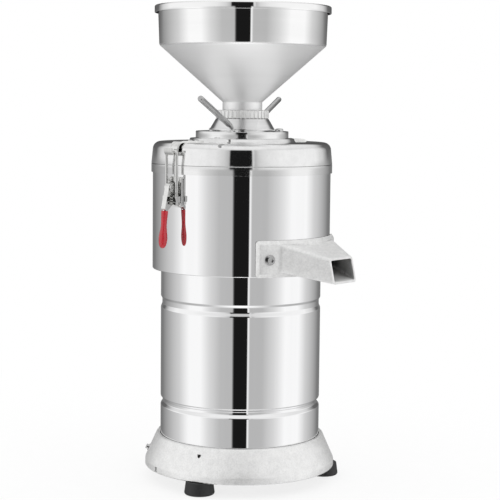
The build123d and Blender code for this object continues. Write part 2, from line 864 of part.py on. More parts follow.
# Feed sleeve: threaded tube that carries the hopper and the upper grinding disc
with BuildPart() as feed_sleeve:
    with BuildSketch(Plane.XZ) as sleeve_outline:
        with BuildLine():
            Polyline(
                (sleeve_bore_radius, static_disc_top + disc_gap),
                (sleeve_flange_radius, static_disc_top + disc_gap),
                (sleeve_flange_radius, static_disc_top + sleeve_flange_thickness),
                (sleeve_outer_radius + 6, static_disc_top + sleeve_flange_thickness + 8),
                (sleeve_outer_radius, static_disc_top + sleeve_flange_thickness + 20),
                (sleeve_outer_radius, sleeve_top),
                (sleeve_bore_radius, sleeve_top),
                close=True,
            )
        make_face()
        fillet(corners(sleeve_outline, (sleeve_flange_radius, static_disc_top + sleeve_flange_thickness)), 2)
    revolve(axis=Axis.Z)
feed_sleeve.part.label = "feed_sleeve"
export_step(feed_sleeve.part, "parts/feed_sleeve.step")

# Upper grinding disc, held still: bevelled mouth and slanting grooves on its lower face
with BuildPart() as static_disc:
    with BuildSketch(Plane.XZ):
        with BuildLine():
            Polyline(
                (sleeve_bore_radius + static_bevel, static_disc_bottom),
                (disc_radius, static_disc_bottom),
                (disc_radius, static_disc_top + disc_gap),
                (sleeve_bore_radius, static_disc_top + disc_gap),
                (sleeve_bore_radius, static_disc_bottom + static_bevel),
                close=True,
            )
        make_face()
    revolve(axis=Axis.Z)
    with BuildSketch(Plane.XY.offset(static_disc_bottom)):
        with PolarLocations((disc_radius + sleeve_bore_radius) / 2, disc_groove_count):
            Rectangle(disc_radius, disc_groove_width, rotation=25)
    extrude(amount=disc_groove_depth, mode=Mode.SUBTRACT)
static_disc.part.label = "static_disc"
export_step(static_disc.part, "parts/static_disc.step")

# Lower grinding disc, turning: the same grooves on its upper face
with BuildPart() as rotating_disc:
    with BuildSketch(Plane.XY.offset(rotating_disc_bottom)):
        Circle(disc_radius)
        Circle(disc_bore_radius, mode=Mode.SUBTRACT)
    extrude(amount=disc_thickness)
    with BuildSketch(Plane.XY.offset(rotating_disc_top)):
        with PolarLocations((disc_radius + sleeve_bore_radius) / 2, disc_groove_count):
            Rectangle(disc_radius, disc_groove_width, rotation=-25)
    extrude(amount=-disc_groove_depth, mode=Mode.SUBTRACT)
rotating_disc.part.label = "rotating_disc"
export_step(rotating_disc.part, "parts/rotating_disc.step")

# Disc holder on the shaft, with paddles that sweep the paste to the port
with BuildPart() as disc_holder:
    with BuildSketch(Plane.XY.offset(holder_plate_bottom)):
        Circle(holder_plate_radius)
    extrude(amount=holder_plate_thickness)
    with BuildSketch(Plane.XY.offset(bowl_hub_top + holder_gap)):
        Circle(holder_hub_radius)
    extrude(amount=holder_plate_bottom - bowl_hub_top - holder_gap)
    paddle_inner = bowl_hub_radius + 2
    paddle_outer = bowl_inner_radius - paddle_tip_gap
    paddle_bottom = bowl_floor + paddle_clearance
    for index in range(paddle_count):
        with BuildSketch(radial_section(index * 360 / paddle_count + 20)):
            with BuildLine():
                Polyline(
                    (paddle_inner, paddle_bottom),
                    (paddle_outer - bowl_floor_round, paddle_bottom),
                    (paddle_outer, paddle_bottom + bowl_floor_round),
                    (paddle_outer, paddle_bottom + paddle_tip_height),
                    (holder_plate_radius - 2, holder_plate_bottom + 1),
                    (paddle_inner, holder_plate_bottom + 1),
                    close=True,
                )
            make_face()
        extrude(amount=paddle_thickness / 2, both=True)
    with BuildSketch(Plane.XY.offset(bowl_hub_top)):
        Circle(shaft_radius)
    extrude(amount=rotating_disc_bottom - bowl_hub_top, mode=Mode.SUBTRACT)
disc_holder.part.label = "disc_holder"
export_step(disc_holder.part, "parts/disc_holder.step")

# Feed screw that clamps the turning disc and pulls nuts down the sleeve
with BuildPart() as feed_screw:
    flange_level = rotating_disc_top + screw_flange_height
    with BuildSketch(Plane.XZ) as screw_outline:
        with BuildLine():
            Polyline(
                (0, rotating_disc_bottom + 3),
                (disc_bore_radius - seat_gap, rotating_disc_bottom + 3),
                (disc_bore_radius - seat_gap, rotating_disc_top),
                (screw_flange_radius, rotating_disc_top),
                (screw_flange_radius, flange_level),
                (screw_core_radius, flange_level + 3),
                (screw_tip_radius, flange_level + screw_height),
                (0, flange_level + screw_height),
                close=True,
            )
        make_face()
        fillet(corners(screw_outline, (screw_tip_radius, flange_level + screw_height)), 5)
    revolve(axis=Axis.Z)
    flight_start = flange_level + flight_thickness
    flight_rise = screw_height - 16
    with BuildLine() as flight_path:
        Helix(flight_pitch, flight_rise, screw_tip_radius, center=(0, 0, flight_start))
    with BuildSketch(Plane(origin=(0, 0, flight_start), x_dir=(1, 0, 0), z_dir=(0, -1, 0))):
        with Locations(((screw_tip_radius + flight_radius) / 2, 0)):
            Rectangle(flight_radius - screw_tip_radius + 2, flight_thickness)
    sweep(path=flight_path.line, is_frenet=True)
    with BuildSketch(Plane.XY.offset(rotating_disc_bottom)):
        Circle(shaft_stub_radius)
    extrude(amount=shaft_stub_length + 4, mode=Mode.SUBTRACT)
feed_screw.part.label = "feed_screw"
export_step(feed_screw.part, "parts/feed_screw.step")

# Motor shaft from the lower bearing up to the threaded stub of the feed screw
with BuildPart() as motor_shaft:
    with BuildSketch(Plane.XZ):
        with BuildLine():
            Polyline(
                (0, shaft_bottom),
                (shaft_radius, shaft_bottom),
                (shaft_radius, rotating_disc_bottom),
                (shaft_stub_radius, rotating_disc_bottom),
                (shaft_stub_radius, rotating_disc_bottom + shaft_stub_length),
                (0, rotating_disc_bottom + shaft_stub_length),
                close=True,
            )
        make_face()
    revolve(axis=Axis.Z)
motor_shaft.part.label = "motor_shaft"
export_step(motor_shaft.part, "parts/motor_shaft.step")

# Rotor core on the shaft
with BuildPart() as rotor_core:
    with BuildSketch(Plane.XY.offset(stator_bottom)):
        Circle(stator_bore_radius - air_gap)
        Circle(shaft_radius, mode=Mode.SUBTRACT)
    extrude(amount=stator_height)
rotor_core.part.label = "rotor_core"
export_step(rotor_core.part, "parts/rotor_core.step")

# Cooling fan above the rotor
with BuildPart() as cooling_fan:
    with BuildSketch(Plane.XY.offset(fan_bottom)):
        Circle(fan_hub_radius)
        with PolarLocations((fan_hub_radius + fan_radius) / 2, fan_blade_count):
            Rectangle(fan_radius - fan_hub_radius + 4, fan_blade_thickness)
        Circle(shaft_radius, mode=Mode.SUBTRACT)
    extrude(amount=fan_height)
cooling_fan.part.label = "cooling_fan"
export_step(cooling_fan.part, "parts/cooling_fan.step")

# Stator core and the two winding heads
with BuildPart() as stator_core:
    with BuildSketch(Plane.XY.offset(stator_bottom)):
        Circle(stator_radius)
        Circle(stator_bore_radius, mode=Mode.SUBTRACT)
    extrude(amount=stator_height)
stator_core.part.label = "stator_core"
export_step(stator_core.part, "parts/stator_core.step")

for level_name, level in (("lower", stator_bottom - winding_height), ("upper", stator_top)):
    with BuildPart() as winding:
        with BuildSketch(Plane.XY.offset(level)):
            Circle(winding_outer_radius)
            Circle(winding_inner_radius, mode=Mode.SUBTRACT)
        extrude(amount=winding_height)
    winding.part.label = f"{level_name}_winding"
    export_step(winding.part, f"parts/{level_name}_winding.step")

# Bearings
upper_bearing_bottom = upper_bearing_top - bearing_width
for level_name, level in (("lower", lower_bearing_bottom), ("upper", upper_bearing_bottom)):
    with BuildPart() as bearing:
        with BuildSketch(Plane.XY.offset(level)):
            Circle(bearing_outer_radius)
            Circle(shaft_radius + running_clearance, mode=Mode.SUBTRACT)
        extrude(amount=bearing_width)
    bearing.part.label = f"{level_name}_bearing"
    export_step(bearing.part, f"parts/{level_name}_bearing.step")

# Lower end bell, standing on the deck
bell_outer = stator_radius + bell_wall
seat_radius = stator_radius + running_clearance
bearing_seat = bearing_outer_radius + running_clearance
lower_plate = deck_top + bell_foot_height
with BuildPart() as lower_bell:
    with BuildSketch(Plane.XZ):
        with BuildLine():
            Polyline(
                (bell_ledge_radius, lower_plate),
                (stator_radius, lower_plate),
                (stator_radius, deck_top),
                (bell_flange_radius, deck_top),
                (bell_flange_radius, lower_plate),
                (bell_outer, lower_plate + bell_wall),
                (bell_outer, stator_bottom + bell_overlap),
                (seat_radius, stator_bottom + bell_overlap),
                (seat_radius, stator_bottom),
                (stator_radius - stator_ledge, stator_bottom - 2),
                (stator_radius - stator_ledge, lower_plate + bell_plate_thickness),
                (bell_hub_radius, lower_plate + bell_plate_thickness),
                (bell_hub_radius, lower_bearing_bottom + bearing_width),
                (bearing_seat, lower_bearing_bottom + bearing_width),
                (bearing_seat, lower_bearing_bottom),
                (bell_ledge_radius, lower_bearing_bottom),
                close=True,
            )
        make_face()
    revolve(axis=Axis.Z)
lower_bell.part.label = "lower_bell"
export_step(lower_bell.part, "parts/lower_bell.step")

# Upper end bell, hanging under the bowl
with BuildPart() as upper_bell:
    with BuildSketch(Plane.XZ):
        with BuildLine():
            Polyline(
                (bell_ledge_radius, bowl_bottom),
                (bell_flange_radius + upper_bell_step, bowl_bottom),
                (bell_flange_radius + upper_bell_step, bowl_bottom - bell_plate_thickness),
                (bell_outer, bowl_bottom - bell_plate_thickness - 2),
                (bell_outer, stator_top - bell_overlap),
                (seat_radius, stator_top - bell_overlap),
                (seat_radius, stator_top),
                (stator_radius - stator_ledge, stator_top + 2),
                (stator_radius - stator_ledge, upper_bearing_top + bearing_cap),
                (bell_hub_radius, upper_bearing_top + bearing_cap),
                (bell_hub_radius, upper_bearing_bottom),
                (bearing_seat, upper_bearing_bottom),
                (bearing_seat, upper_bearing_top),
                (bell_ledge_radius, upper_bearing_top),
                close=True,
            )
        make_face()
    revolve(axis=Axis.Z)
upper_bell.part.label = "upper_bell"
export_step(upper_bell.part, "parts/upper_bell.step")

# Capacitor in a clip on the inside of the lower shell
capacitor_distance = lower_shell_inner - capacitor_radius - 2
with BuildPart() as capacitor:
    capacitor_spot = outward(capacitor_angle) * capacitor_distance
    with BuildSketch(Plane.XY.offset(capacitor_bottom)):
        with Locations(capacitor_spot):
            Circle(capacitor_radius)
    extrude(amount=capacitor_height)
    fillet(capacitor.faces().sort_by(Axis.Z)[-1].edges(), 2)
    clip_level = capacitor_bottom + (capacitor_height - capacitor_clip_height) / 2
    with BuildSketch(Plane.XY.offset(clip_level)):
        with Locations(capacitor_spot):
            Circle(capacitor_radius + capacitor_clip_thickness)
        with Locations(outward(capacitor_angle) * (lower_shell_inner - 4)):
            Rectangle(8, 12)
        Circle(lower_shell_inner - 0.05, mode=Mode.INTERSECT)
    extrude(amount=capacitor_clip_height)
capacitor.part.label = "capacitor"
export_step(capacitor.part, "parts/capacitor.step")

# Switch frame on the rear of the lower shell
switch_face = lower_shell_radius + switch_bezel_stand
with BuildPart() as switch_frame:
    with BuildSketch(facing_plane(rear_angle, switch_face, switch_height)):
        RectangleRounded(switch_bezel_width, switch_bezel_height, 3)
    extrude(amount=-switch_bezel_stand - 3)
    fillet(switch_frame.faces().sort_by(Axis.Y)[-1].edges(), 1)
    with BuildSketch(Plane.XY.offset(switch_height - switch_bezel_height)):
        Circle(lower_shell_radius + running_clearance)
    extrude(amount=2 * switch_bezel_height, mode=Mode.SUBTRACT)
    with BuildSketch(facing_plane(rear_angle, switch_face - 1, switch_height)):
        Rectangle(switch_opening_width + 3.8, switch_opening_height + 3.8)
    extrude(amount=-switch_body_depth)
    with BuildSketch(facing_plane(rear_angle, switch_face, switch_height)):
        Rectangle(switch_opening_width, switch_opening_height)
    extrude(amount=-switch_body_depth + 2, mode=Mode.SUBTRACT)
switch_frame.part.label = "switch_frame"
export_step(switch_frame.part, "parts/switch_frame.step")

# Rocker of the switch, tilted to its off position
pivot_distance = switch_face - rocker_pivot_inset
with BuildPart() as switch_rocker:
    tilt = math.radians(rocker_tilt)
    shape = [(6, rocker_half_height), (3.5, 0), (6, -rocker_half_height), (-2, 3 - rocker_half_height),
             (-2, rocker_half_height - 3)]
    turned = [
        (
            pivot_distance + x * math.cos(tilt) - y * math.sin(tilt),
            switch_height + x * math.sin(tilt) + y * math.cos(tilt),
        )
        for x, y in shape
    ]
    with BuildSketch(radial_section(rear_angle)):
        with BuildLine():
            Polyline(*turned, close=True)
        make_face()
    extrude(amount=rocker_width / 2, both=True)
switch_rocker.part.label = "switch_rocker"
export_step(switch_rocker.part, "parts/switch_rocker.step")

# Adjusting hub: cone that turns with the sleeve thread, with two handle sockets
handle_tilt = math.radians(handle_rise)


def handle_plane(angle):
    """Plane at the foot of a handle, facing along the rod."""
    along = outward(angle) * math.cos(handle_tilt) + Vector(0, 0, math.sin(handle_tilt))
    spot = outward(angle) * handle_start_radius + Vector(0, 0, handle_start_height)
    return Plane(origin=spot, z_dir=along)


with BuildPart() as adjusting_hub:
    with BuildSketch(Plane.XZ) as hub_outline:
        with BuildLine():
            Polyline(
                (sleeve_outer_radius + 2 * running_clearance, hub_bottom),
                (hub_bottom_radius, hub_bottom),
                (hub_bottom_radius, hub_bottom + hub_lip_height),
                (hub_bottom_radius - 0.6, hub_bottom + hub_lip_height),
                (hub_top_radius, hub_top),
                (sleeve_outer_radius + 2 * running_clearance, hub_top),
                close=True,
            )
        make_face()
        fillet(corners(hub_outline, (hub_top_radius, hub_top)), 1)
    revolve(axis=Axis.Z)
    for angle in (handle_angle, handle_angle + 180):
        with BuildSketch(handle_plane(angle).offset(2)):
            Circle(handle_spigot_radius)
        extrude(amount=-handle_spigot_length - cut_margin, mode=Mode.SUBTRACT)
adjusting_hub.part.label = "adjusting_hub"
export_step(adjusting_hub.part, "parts/adjusting_hub.step")

# Handles: straight polished rods that narrow to a neck where they screw into the hub
for handle_name, angle in (("front_handle", handle_angle), ("rear_handle", handle_angle + 180)):
    foot_of_rod = handle_plane(angle)
    with BuildPart() as handle:
        with BuildSketch(foot_of_rod.offset(-handle_spigot_length)):
            Circle(handle_spigot_radius)
        extrude(amount=handle_spigot_length)
        with BuildSketch(foot_of_rod):
            Circle(handle_neck_radius)
        with BuildSketch(foot_of_rod.offset(handle_neck_length)):
            Circle(handle_rod_radius)
        loft()
        with BuildSketch(foot_of_rod.offset(handle_neck_length)):
            Circle(handle_rod_radius)
        extrude(amount=handle_length - handle_neck_length)
        tip = foot_of_rod.offset(handle_length).origin
        chamfer(handle.faces().sort_by_distance(tip)[0].edges(), 0.6)
    handle.part.label = handle_name
    export_step(handle.part, f"parts/{handle_name}.step")

# Fluted lock ring above the hub
ring_bottom = hub_top + ring_gap
with BuildPart() as lock_ring:
    with BuildSketch(Plane.XY.offset(ring_bottom)):
        Circle(ring_radius)
        Circle(sleeve_outer_radius + 2 * running_clearance, mode=Mode.SUBTRACT)
        with PolarLocations(ring_radius + ring_flute_radius / 2, ring_flutes):
            Circle(ring_flute_radius, mode=Mode.SUBTRACT)
    extrude(amount=ring_height)
lock_ring.part.label = "lock_ring"
export_step(lock_ring.part, "parts/lock_ring.step")

# Hopper: spun steel cone with a straight wall, a rolled lip and a spigot into the sleeve
collar_bottom = sleeve_top + ring_gap
cone_bottom = collar_bottom + hopper_collar_height
sheet_bottom = cone_bottom - hopper_foot_height
cone_top = cone_bottom + hopper_cone_height
wall_top = cone_top + hopper_wall_height
wall_radius = hopper_cone_top_radius + hopper_wall_flare
with BuildPart() as hopper_spigot:
    with BuildSketch(Plane.XZ) as spigot_outline:
        with BuildLine():
            Polyline(
                (hopper_bore_radius, collar_bottom - hopper_spigot_length),
                (sleeve_bore_radius - hole_clearance, collar_bottom - hopper_spigot_length),
                (sleeve_bore_radius - hole_clearance, collar_bottom),
                (hopper_collar_radius, collar_bottom),
                (hopper_collar_radius, sheet_bottom),
                (hopper_bore_radius, sheet_bottom),
                close=True,
            )
        make_face()
    revolve(axis=Axis.Z)
hopper_spigot.part.label = "hopper_spigot"
export_step(hopper_spigot.part, "parts/hopper_spigot.step")

with BuildPart() as hopper:
    with BuildSketch(Plane.XZ) as hopper_outline:
        with BuildLine():
            Polyline(
                (hopper_bore_radius, sheet_bottom),
                (hopper_collar_radius, sheet_bottom),
                (hopper_collar_radius, cone_bottom),
                (hopper_cone_top_radius, cone_top),
                (wall_radius, wall_top - hopper_sheet),
                (hopper_lip_radius - hopper_sheet, wall_top - hopper_sheet),
                (hopper_lip_radius - hopper_sheet, wall_top - hopper_lip_drop),
                (hopper_lip_radius, wall_top - hopper_lip_drop),
                (hopper_lip_radius, wall_top),
                (wall_radius - hopper_sheet, wall_top),
                (hopper_cone_top_radius - hopper_sheet, cone_top + hopper_sheet / 2),
                close=True,
            )
        make_face()
        fillet(corners(hopper_outline, (hopper_lip_radius, wall_top)), 2)
        fillet(corners(hopper_outline, (wall_radius - hopper_sheet, wall_top)), 2)
        fillet(corners(hopper_outline, (hopper_cone_top_radius, cone_top)), 5)
        inner_corner = (hopper_cone_top_radius - hopper_sheet, cone_top + hopper_sheet / 2)
        fillet(corners(hopper_outline, inner_corner), 4)
    revolve(axis=Axis.Z)
hopper.part.label = "hopper"
export_step(hopper.part, "parts/hopper.step")

# Toggle latches: catch plate on the lid, base on the shell, lever, grip, U-bolt and trunnion
for side_name, angle in (("left", left_latch_angle), ("right", right_latch_angle)):
    section = radial_section(angle)
    strip_radius = catch_face + catch_thickness / 2
    strip_height = lid_top + running_clearance + catch_thickness / 2
    hook_path_radius = hook_inner_radius + catch_thickness / 2
    rod_plane = facing_plane(angle, bail_radius_out, 0)
    rod_spots = [rod_plane.from_local_coords((side * bail_half_spacing, 0, 0)) for side in (-1, 1)]

    with BuildPart() as catch_plate:
        with BuildSketch(section):
            with BuildLine():
                FilletPolyline(
                    (catch_start_radius, strip_height),
                    (strip_radius, strip_height),
                    (strip_radius, hook_center_height),
                    radius=catch_bend_radius,
                )
                CenterArc((hook_center_radius, hook_center_height), hook_path_radius, 180, 180)
                Line(
                    (hook_center_radius + hook_path_radius, hook_center_height),
                    (hook_center_radius + hook_path_radius, hook_center_height + hook_lip_height),
                )
            trace(line_width=catch_thickness)
        extrude(amount=catch_width / 2, both=True)
    catch_plate.part.label = f"{side_name}_catch_plate"
    export_step(catch_plate.part, f"parts/{side_name}_catch_plate.step")

    with BuildPart() as latch_base:
        base_face = upper_shell_radius + latch_base_stand
        with BuildSketch(section):
            with BuildLine():
                Polyline(
                    (upper_shell_radius - cut_margin, latch_base_bottom),
                    (base_face, latch_base_bottom),
                    (base_face, latch_base_top),
                    (upper_shell_radius - cut_margin, latch_base_top),
                    close=True,
                )
            make_face()
        extrude(amount=latch_base_half_width, both=True)
        fillet(latch_base.edges().filter_by(lambda edge: abs(edge.tangent_at(0).Z) < 0.01
                                            and abs(edge.tangent_at(0).dot(section.z_dir)) < 0.01), 4)
        with BuildSketch(section) as cheek_outline:
            with Locations((pivot_radius_out, pivot_height)):
                Circle(cheek_round)
            with Locations((base_face, pivot_height)):
                Rectangle(1, 3 * cheek_round)
            make_hull()
        extrude(amount=cheek_inner + cheek_thickness, both=True)
        with BuildSketch(section):
            with Locations((pivot_radius_out + 7, pivot_height)):
                Rectangle(2 * (pivot_radius_out + 7 - base_face), 6 * cheek_round)
        extrude(amount=cheek_inner, both=True, mode=Mode.SUBTRACT)
        with BuildSketch(section):
            with Locations((pivot_radius_out, pivot_height)):
                Circle(pivot_pin_radius)
        extrude(amount=cheek_inner + cheek_thickness + 0.6, both=True)
        with BuildSketch(Plane.XY.offset(latch_base_bottom - 5)):
            Circle(upper_shell_radius + running_clearance)
        extrude(amount=60, mode=Mode.SUBTRACT)
    latch_base.part.label = f"{side_name}_latch_base"
    export_step(latch_base.part, f"parts/{side_name}_latch_base.step")

    with BuildPart() as latch_lever:
        with BuildSketch(section):
            with Locations((pivot_radius_out, pivot_height)):
                Circle(lever_pivot_round)
            with Locations((toggle_radius_out, toggle_height)):
                Circle(lever_toggle_round)
            with Locations((lever_neck_radius, lever_neck_height)):
                Circle(lever_neck_round)
            make_hull()
        extrude(amount=lever_half_thickness, both=True)
        with BuildSketch(section):
            with Locations((pivot_radius_out, pivot_height)):
                Circle(lever_pivot_round - lever_wall)
            with Locations((toggle_radius_out, toggle_height)):
                Circle(lever_toggle_round - lever_wall)
            with Locations((lever_neck_radius - 2, lever_neck_height + 4)):
                Circle(lever_neck_round - lever_wall)
            with Locations((toggle_radius_out - 9, toggle_height + 4)):
                Rectangle(2, 2 * toggle_arm)
            make_hull()
        extrude(amount=lever_half_thickness - lever_wall, both=True, mode=Mode.SUBTRACT)
        with BuildSketch(section):
            with Locations((pivot_radius_out, pivot_height)):
                Circle(pivot_pin_radius + running_clearance)
            with Locations((toggle_radius_out, toggle_height)):
                Circle(trunnion_radius + running_clearance)
        extrude(amount=2 * lever_half_thickness, both=True, mode=Mode.SUBTRACT)
        grip_plane = Plane(
            origin=section.from_local_coords((lever_neck_radius, lever_neck_height, 0)),
            x_dir=section.z_dir,
            z_dir=section.x_dir * math.sin(math.radians(grip_lean)) + Vector(0, 0, -1),
        )
        with BuildSketch(grip_plane):
            Rectangle(2 * tang_half_thickness, tang_width)
        extrude(amount=tang_length)
    latch_lever.part.label = f"{side_name}_latch_lever"
    export_step(latch_lever.part, f"parts/{side_name}_latch_lever.step")

    with BuildPart() as latch_grip:
        grip_section = Plane(origin=grip_plane.origin, x_dir=grip_plane.x_dir, z_dir=grip_plane.y_dir * -1)
        grip_start = lever_neck_round
        with BuildSketch(grip_section):
            with BuildLine():
                Line((0, grip_start), (grip_top_radius, grip_start))
                Spline(
                    (grip_top_radius, grip_start),
                    (grip_waist_radius, grip_start + 0.45 * grip_length),
                    (grip_bulb_radius, grip_start + 0.84 * grip_length),
                    (0, grip_start + grip_length),
                    tangents=((0, 1), (-1, 0)),
                )
                Line((0, grip_start + grip_length), (0, grip_start))
            make_face()
        revolve(axis=Axis(grip_plane.origin, grip_plane.z_dir))
        with BuildSketch(grip_plane):
            Rectangle(2 * tang_half_thickness + seat_gap, tang_width + seat_gap)
        extrude(amount=tang_length + seat_gap, mode=Mode.SUBTRACT)
    latch_grip.part.label = f"{side_name}_latch_grip"
    export_step(latch_grip.part, f"parts/{side_name}_latch_grip.step")

    with BuildPart() as latch_bail:
        with BuildLine(rod_plane) as bail_path:
            FilletPolyline(
                (-bail_half_spacing, bail_bottom),
                (-bail_half_spacing, bail_height),
                (bail_half_spacing, bail_height),
                (bail_half_spacing, bail_bottom),
                radius=bail_bend_radius,
            )
        with BuildSketch(Plane(origin=bail_path.line @ 0, z_dir=bail_path.line % 0)):
            Circle(bail_rod_radius)
        sweep()
        nut_level = toggle_height - trunnion_block / 2 - nut_height
        with BuildSketch(Plane.XY.offset(nut_level)):
            with Locations(*rod_spots):
                RegularPolygon(nut_radius, 6, rotation=angle)
        extrude(amount=nut_height)
    latch_bail.part.label = f"{side_name}_latch_bail"
    export_step(latch_bail.part, f"parts/{side_name}_latch_bail.step")

    with BuildPart() as latch_trunnion:
        with BuildSketch(section):
            with Locations((toggle_radius_out, toggle_height)):
                Circle(trunnion_radius)
        extrude(amount=trunnion_outer, both=True)
        for side in (-1, 1):
            with BuildSketch(section.offset(side * (trunnion_inner + trunnion_outer) / 2)):
                with Locations((toggle_radius_out, toggle_height)):
                    RectangleRounded(trunnion_block, trunnion_block, 1)
            extrude(amount=(trunnion_outer - trunnion_inner) / 2, both=True)
        with BuildSketch(Plane.XY.offset(toggle_height - trunnion_block)):
            with Locations(*rod_spots):
                Circle(bail_rod_radius + running_clearance)
        extrude(amount=2 * trunnion_block, mode=Mode.SUBTRACT)
    latch_trunnion.part.label = f"{side_name}_latch_trunnion"
    export_step(latch_trunnion.part, f"parts/{side_name}_latch_trunnion.step")
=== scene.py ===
import json
import math

import bmesh
import bpy
from mathutils import Matrix, Vector


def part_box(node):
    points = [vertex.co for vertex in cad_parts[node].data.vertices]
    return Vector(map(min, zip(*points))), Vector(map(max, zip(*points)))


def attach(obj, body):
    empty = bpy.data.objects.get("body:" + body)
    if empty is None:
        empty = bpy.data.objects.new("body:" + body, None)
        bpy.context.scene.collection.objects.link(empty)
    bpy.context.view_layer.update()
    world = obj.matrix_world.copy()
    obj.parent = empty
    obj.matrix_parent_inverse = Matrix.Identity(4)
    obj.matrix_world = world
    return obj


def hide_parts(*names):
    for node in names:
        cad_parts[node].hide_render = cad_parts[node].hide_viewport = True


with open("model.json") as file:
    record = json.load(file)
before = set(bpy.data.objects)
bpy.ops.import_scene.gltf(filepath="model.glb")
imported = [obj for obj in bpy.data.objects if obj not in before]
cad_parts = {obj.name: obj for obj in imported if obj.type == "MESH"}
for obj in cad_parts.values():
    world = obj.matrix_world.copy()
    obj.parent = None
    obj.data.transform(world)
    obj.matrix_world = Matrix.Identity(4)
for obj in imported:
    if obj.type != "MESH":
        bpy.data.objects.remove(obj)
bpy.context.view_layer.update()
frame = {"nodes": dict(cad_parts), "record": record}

# Driving values, in metres and degrees, in the frame of the part
MM = 0.001
AROUND = 224
LEFT_LATCH = -95
RIGHT_LATCH = 85
HANDLE = -70
HOPPER_WALL = 54

# Camera of the photograph
CAMERA_TURN = -50
CAMERA_DISTANCE = 2.10
CAMERA_HEIGHT = 0.530
AIM_HEIGHT = 0.3205
AIM_SIDE = 0.0125
METRES_PER_PIXEL = 0.0014
IMAGE_PIXELS = 500
CAMERA_ROLL = 0.55


def outward(angle):
    """Unit vector away from the machine axis, at an angle from the spout towards +X."""
    turn = math.radians(angle)
    return Vector((math.sin(turn), -math.cos(turn), 0))


def at(angle, radius, height):
    """Point at an angle, a radius and a height, all given in degrees and millimetres."""
    spot = outward(angle) * radius * MM
    spot.z = height * MM
    return spot


# Profiles


def rounded(corners):
    """Open outline of (radius, height, rounding) corners as points, with arcs where rounding is set."""
    points = []
    last = len(corners) - 1
    for index, (x, y, rounding) in enumerate(corners):
        here = Vector((x, y))
        if not rounding or index in (0, last):
            points.append(here)
            continue
        before = (Vector(corners[index - 1][:2]) - here).normalized()
        after = (Vector(corners[index + 1][:2]) - here).normalized()
        half = before.angle(after) / 2
        reach = rounding / math.tan(half)
        centre = here + (before + after).normalized() * rounding / math.sin(half)
        start = here + before * reach - centre
        end = here + after * reach - centre
        sweep = start.angle_signed(end)
        steps = max(3, int(abs(math.degrees(sweep)) / 12))
        for step in range(steps + 1):
            points.append(centre + Matrix.Rotation(-sweep * step / steps, 2) @ start)
    return points


def new_object(name, mesh):
    """Object in the scene for a mesh."""
    piece = bpy.data.objects.new(name, mesh)
    bpy.context.scene.collection.objects.link(piece)
    return piece


def shade(piece, angle=32):
    """Smooth shading that keeps edges sharper than an angle."""
    mesh = piece.data
    mesh.polygons.foreach_set("use_smooth", [True] * len(mesh.polygons))
    mesh.set_sharp_from_angle(angle=math.radians(angle))


def from_faces(name, vertices, faces):
    """Mesh object from points in millimetres, with its faces turned outward."""
    mesh = bpy.data.meshes.new(name)
    mesh.from_pydata([Vector(v) * MM for v in vertices], [], faces)
    work = bmesh.new()
    work.from_mesh(mesh)
    bmesh.ops.remove_doubles(work, verts=work.verts, dist=1e-7)
    bmesh.ops.recalc_face_normals(work, faces=work.faces)
    work.to_mesh(mesh)
    work.free()
    piece = new_object(name, mesh)
    shade(piece)
    return piece


def lathe(name, corners, closed=True, around=AROUND):
    """Turned piece from a closed outline of (radius, height, rounding) corners."""
    loop = rounded(corners)
    rings = len(loop)
    vertices = []
    for point in loop:
        for step in range(around):
            turn = 2 * math.pi * step / around
            vertices.append((point.x * math.cos(turn), point.x * math.sin(turn), point.y))
    faces = []
    for ring in range(rings if closed else rings - 1):
        above = (ring + 1) % rings
        for step in range(around):
            beside = (step + 1) % around
            faces.append((ring * around + step, ring * around + beside,
                          above * around + beside, above * around + step))
    return from_faces(name, vertices, faces)


# Materials


def node_material(name):
    """New node material with its Principled shader."""
    material = bpy.data.materials.new(name)
    material.use_nodes = True
    shader = material.node_tree.nodes["Principled BSDF"]
    return material, material.node_tree, shader


def noise(tree, scale, detail=4, roughness=0.55, stretch=(1, 1, 1)):
    """Noise in object space, stretched along the axes."""
    place = tree.nodes.new("ShaderNodeTexCoord")
    mapping = tree.nodes.new("ShaderNodeMapping")
    mapping.inputs["Scale"].default_value = stretch
    texture = tree.nodes.new("ShaderNodeTexNoise")
    texture.inputs["Scale"].default_value = scale
    texture.inputs["Detail"].default_value = detail
    texture.inputs["Roughness"].default_value = roughness
    tree.links.new(place.outputs["Object"], mapping.inputs["Vector"])
    tree.links.new(mapping.outputs["Vector"], texture.inputs["Vector"])
    return texture.outputs["Fac"]


def ramp(tree, source, stops):
    """Colour ramp over a value, from (position, grey or colour) stops."""
    node = tree.nodes.new("ShaderNodeValToRGB")
    while len(node.color_ramp.elements) < len(stops):
        node.color_ramp.elements.new(0.5)
    for element, (position, colour) in zip(node.color_ramp.elements, stops):
        element.position = position
        element.color = (*colour, 1) if isinstance(colour, tuple) else (colour, colour, colour, 1)
    tree.links.new(source, node.inputs["Fac"])
    return node.outputs["Color"]


def bump(tree, shader, height, strength, distance):
    """Bump from a height into the shader's normal."""
    node = tree.nodes.new("ShaderNodeBump")
    node.inputs["Strength"].default_value = strength
    node.inputs["Distance"].default_value = distance
    tree.links.new(height, node.inputs["Height"])
    tree.links.new(node.outputs["Normal"], shader.inputs["Normal"])


def metal(name, colour, rough, wear, grain, stretch, bump_strength, spread=0.04):
    """Metal with fine streaks or grain in its colour, roughness and surface."""
    material, tree, shader = node_material(name)
    shader.inputs["Metallic"].default_value = 1
    streaks = noise(tree, grain, 5, 0.6, stretch)
    cloud = noise(tree, wear, 3)
    low = tuple(c * (1 - spread) for c in colour)
    high = tuple(min(1, c * (1 + spread)) for c in colour)
    tree.links.new(ramp(tree, streaks, [(0.3, low), (0.7, high)]), shader.inputs["Base Color"])
    tree.links.new(ramp(tree, cloud, [(0.3, rough * 0.8), (0.7, rough * 1.25)]), shader.inputs["Roughness"])
    bump(tree, shader, streaks, bump_strength, 0.0004)
    return material


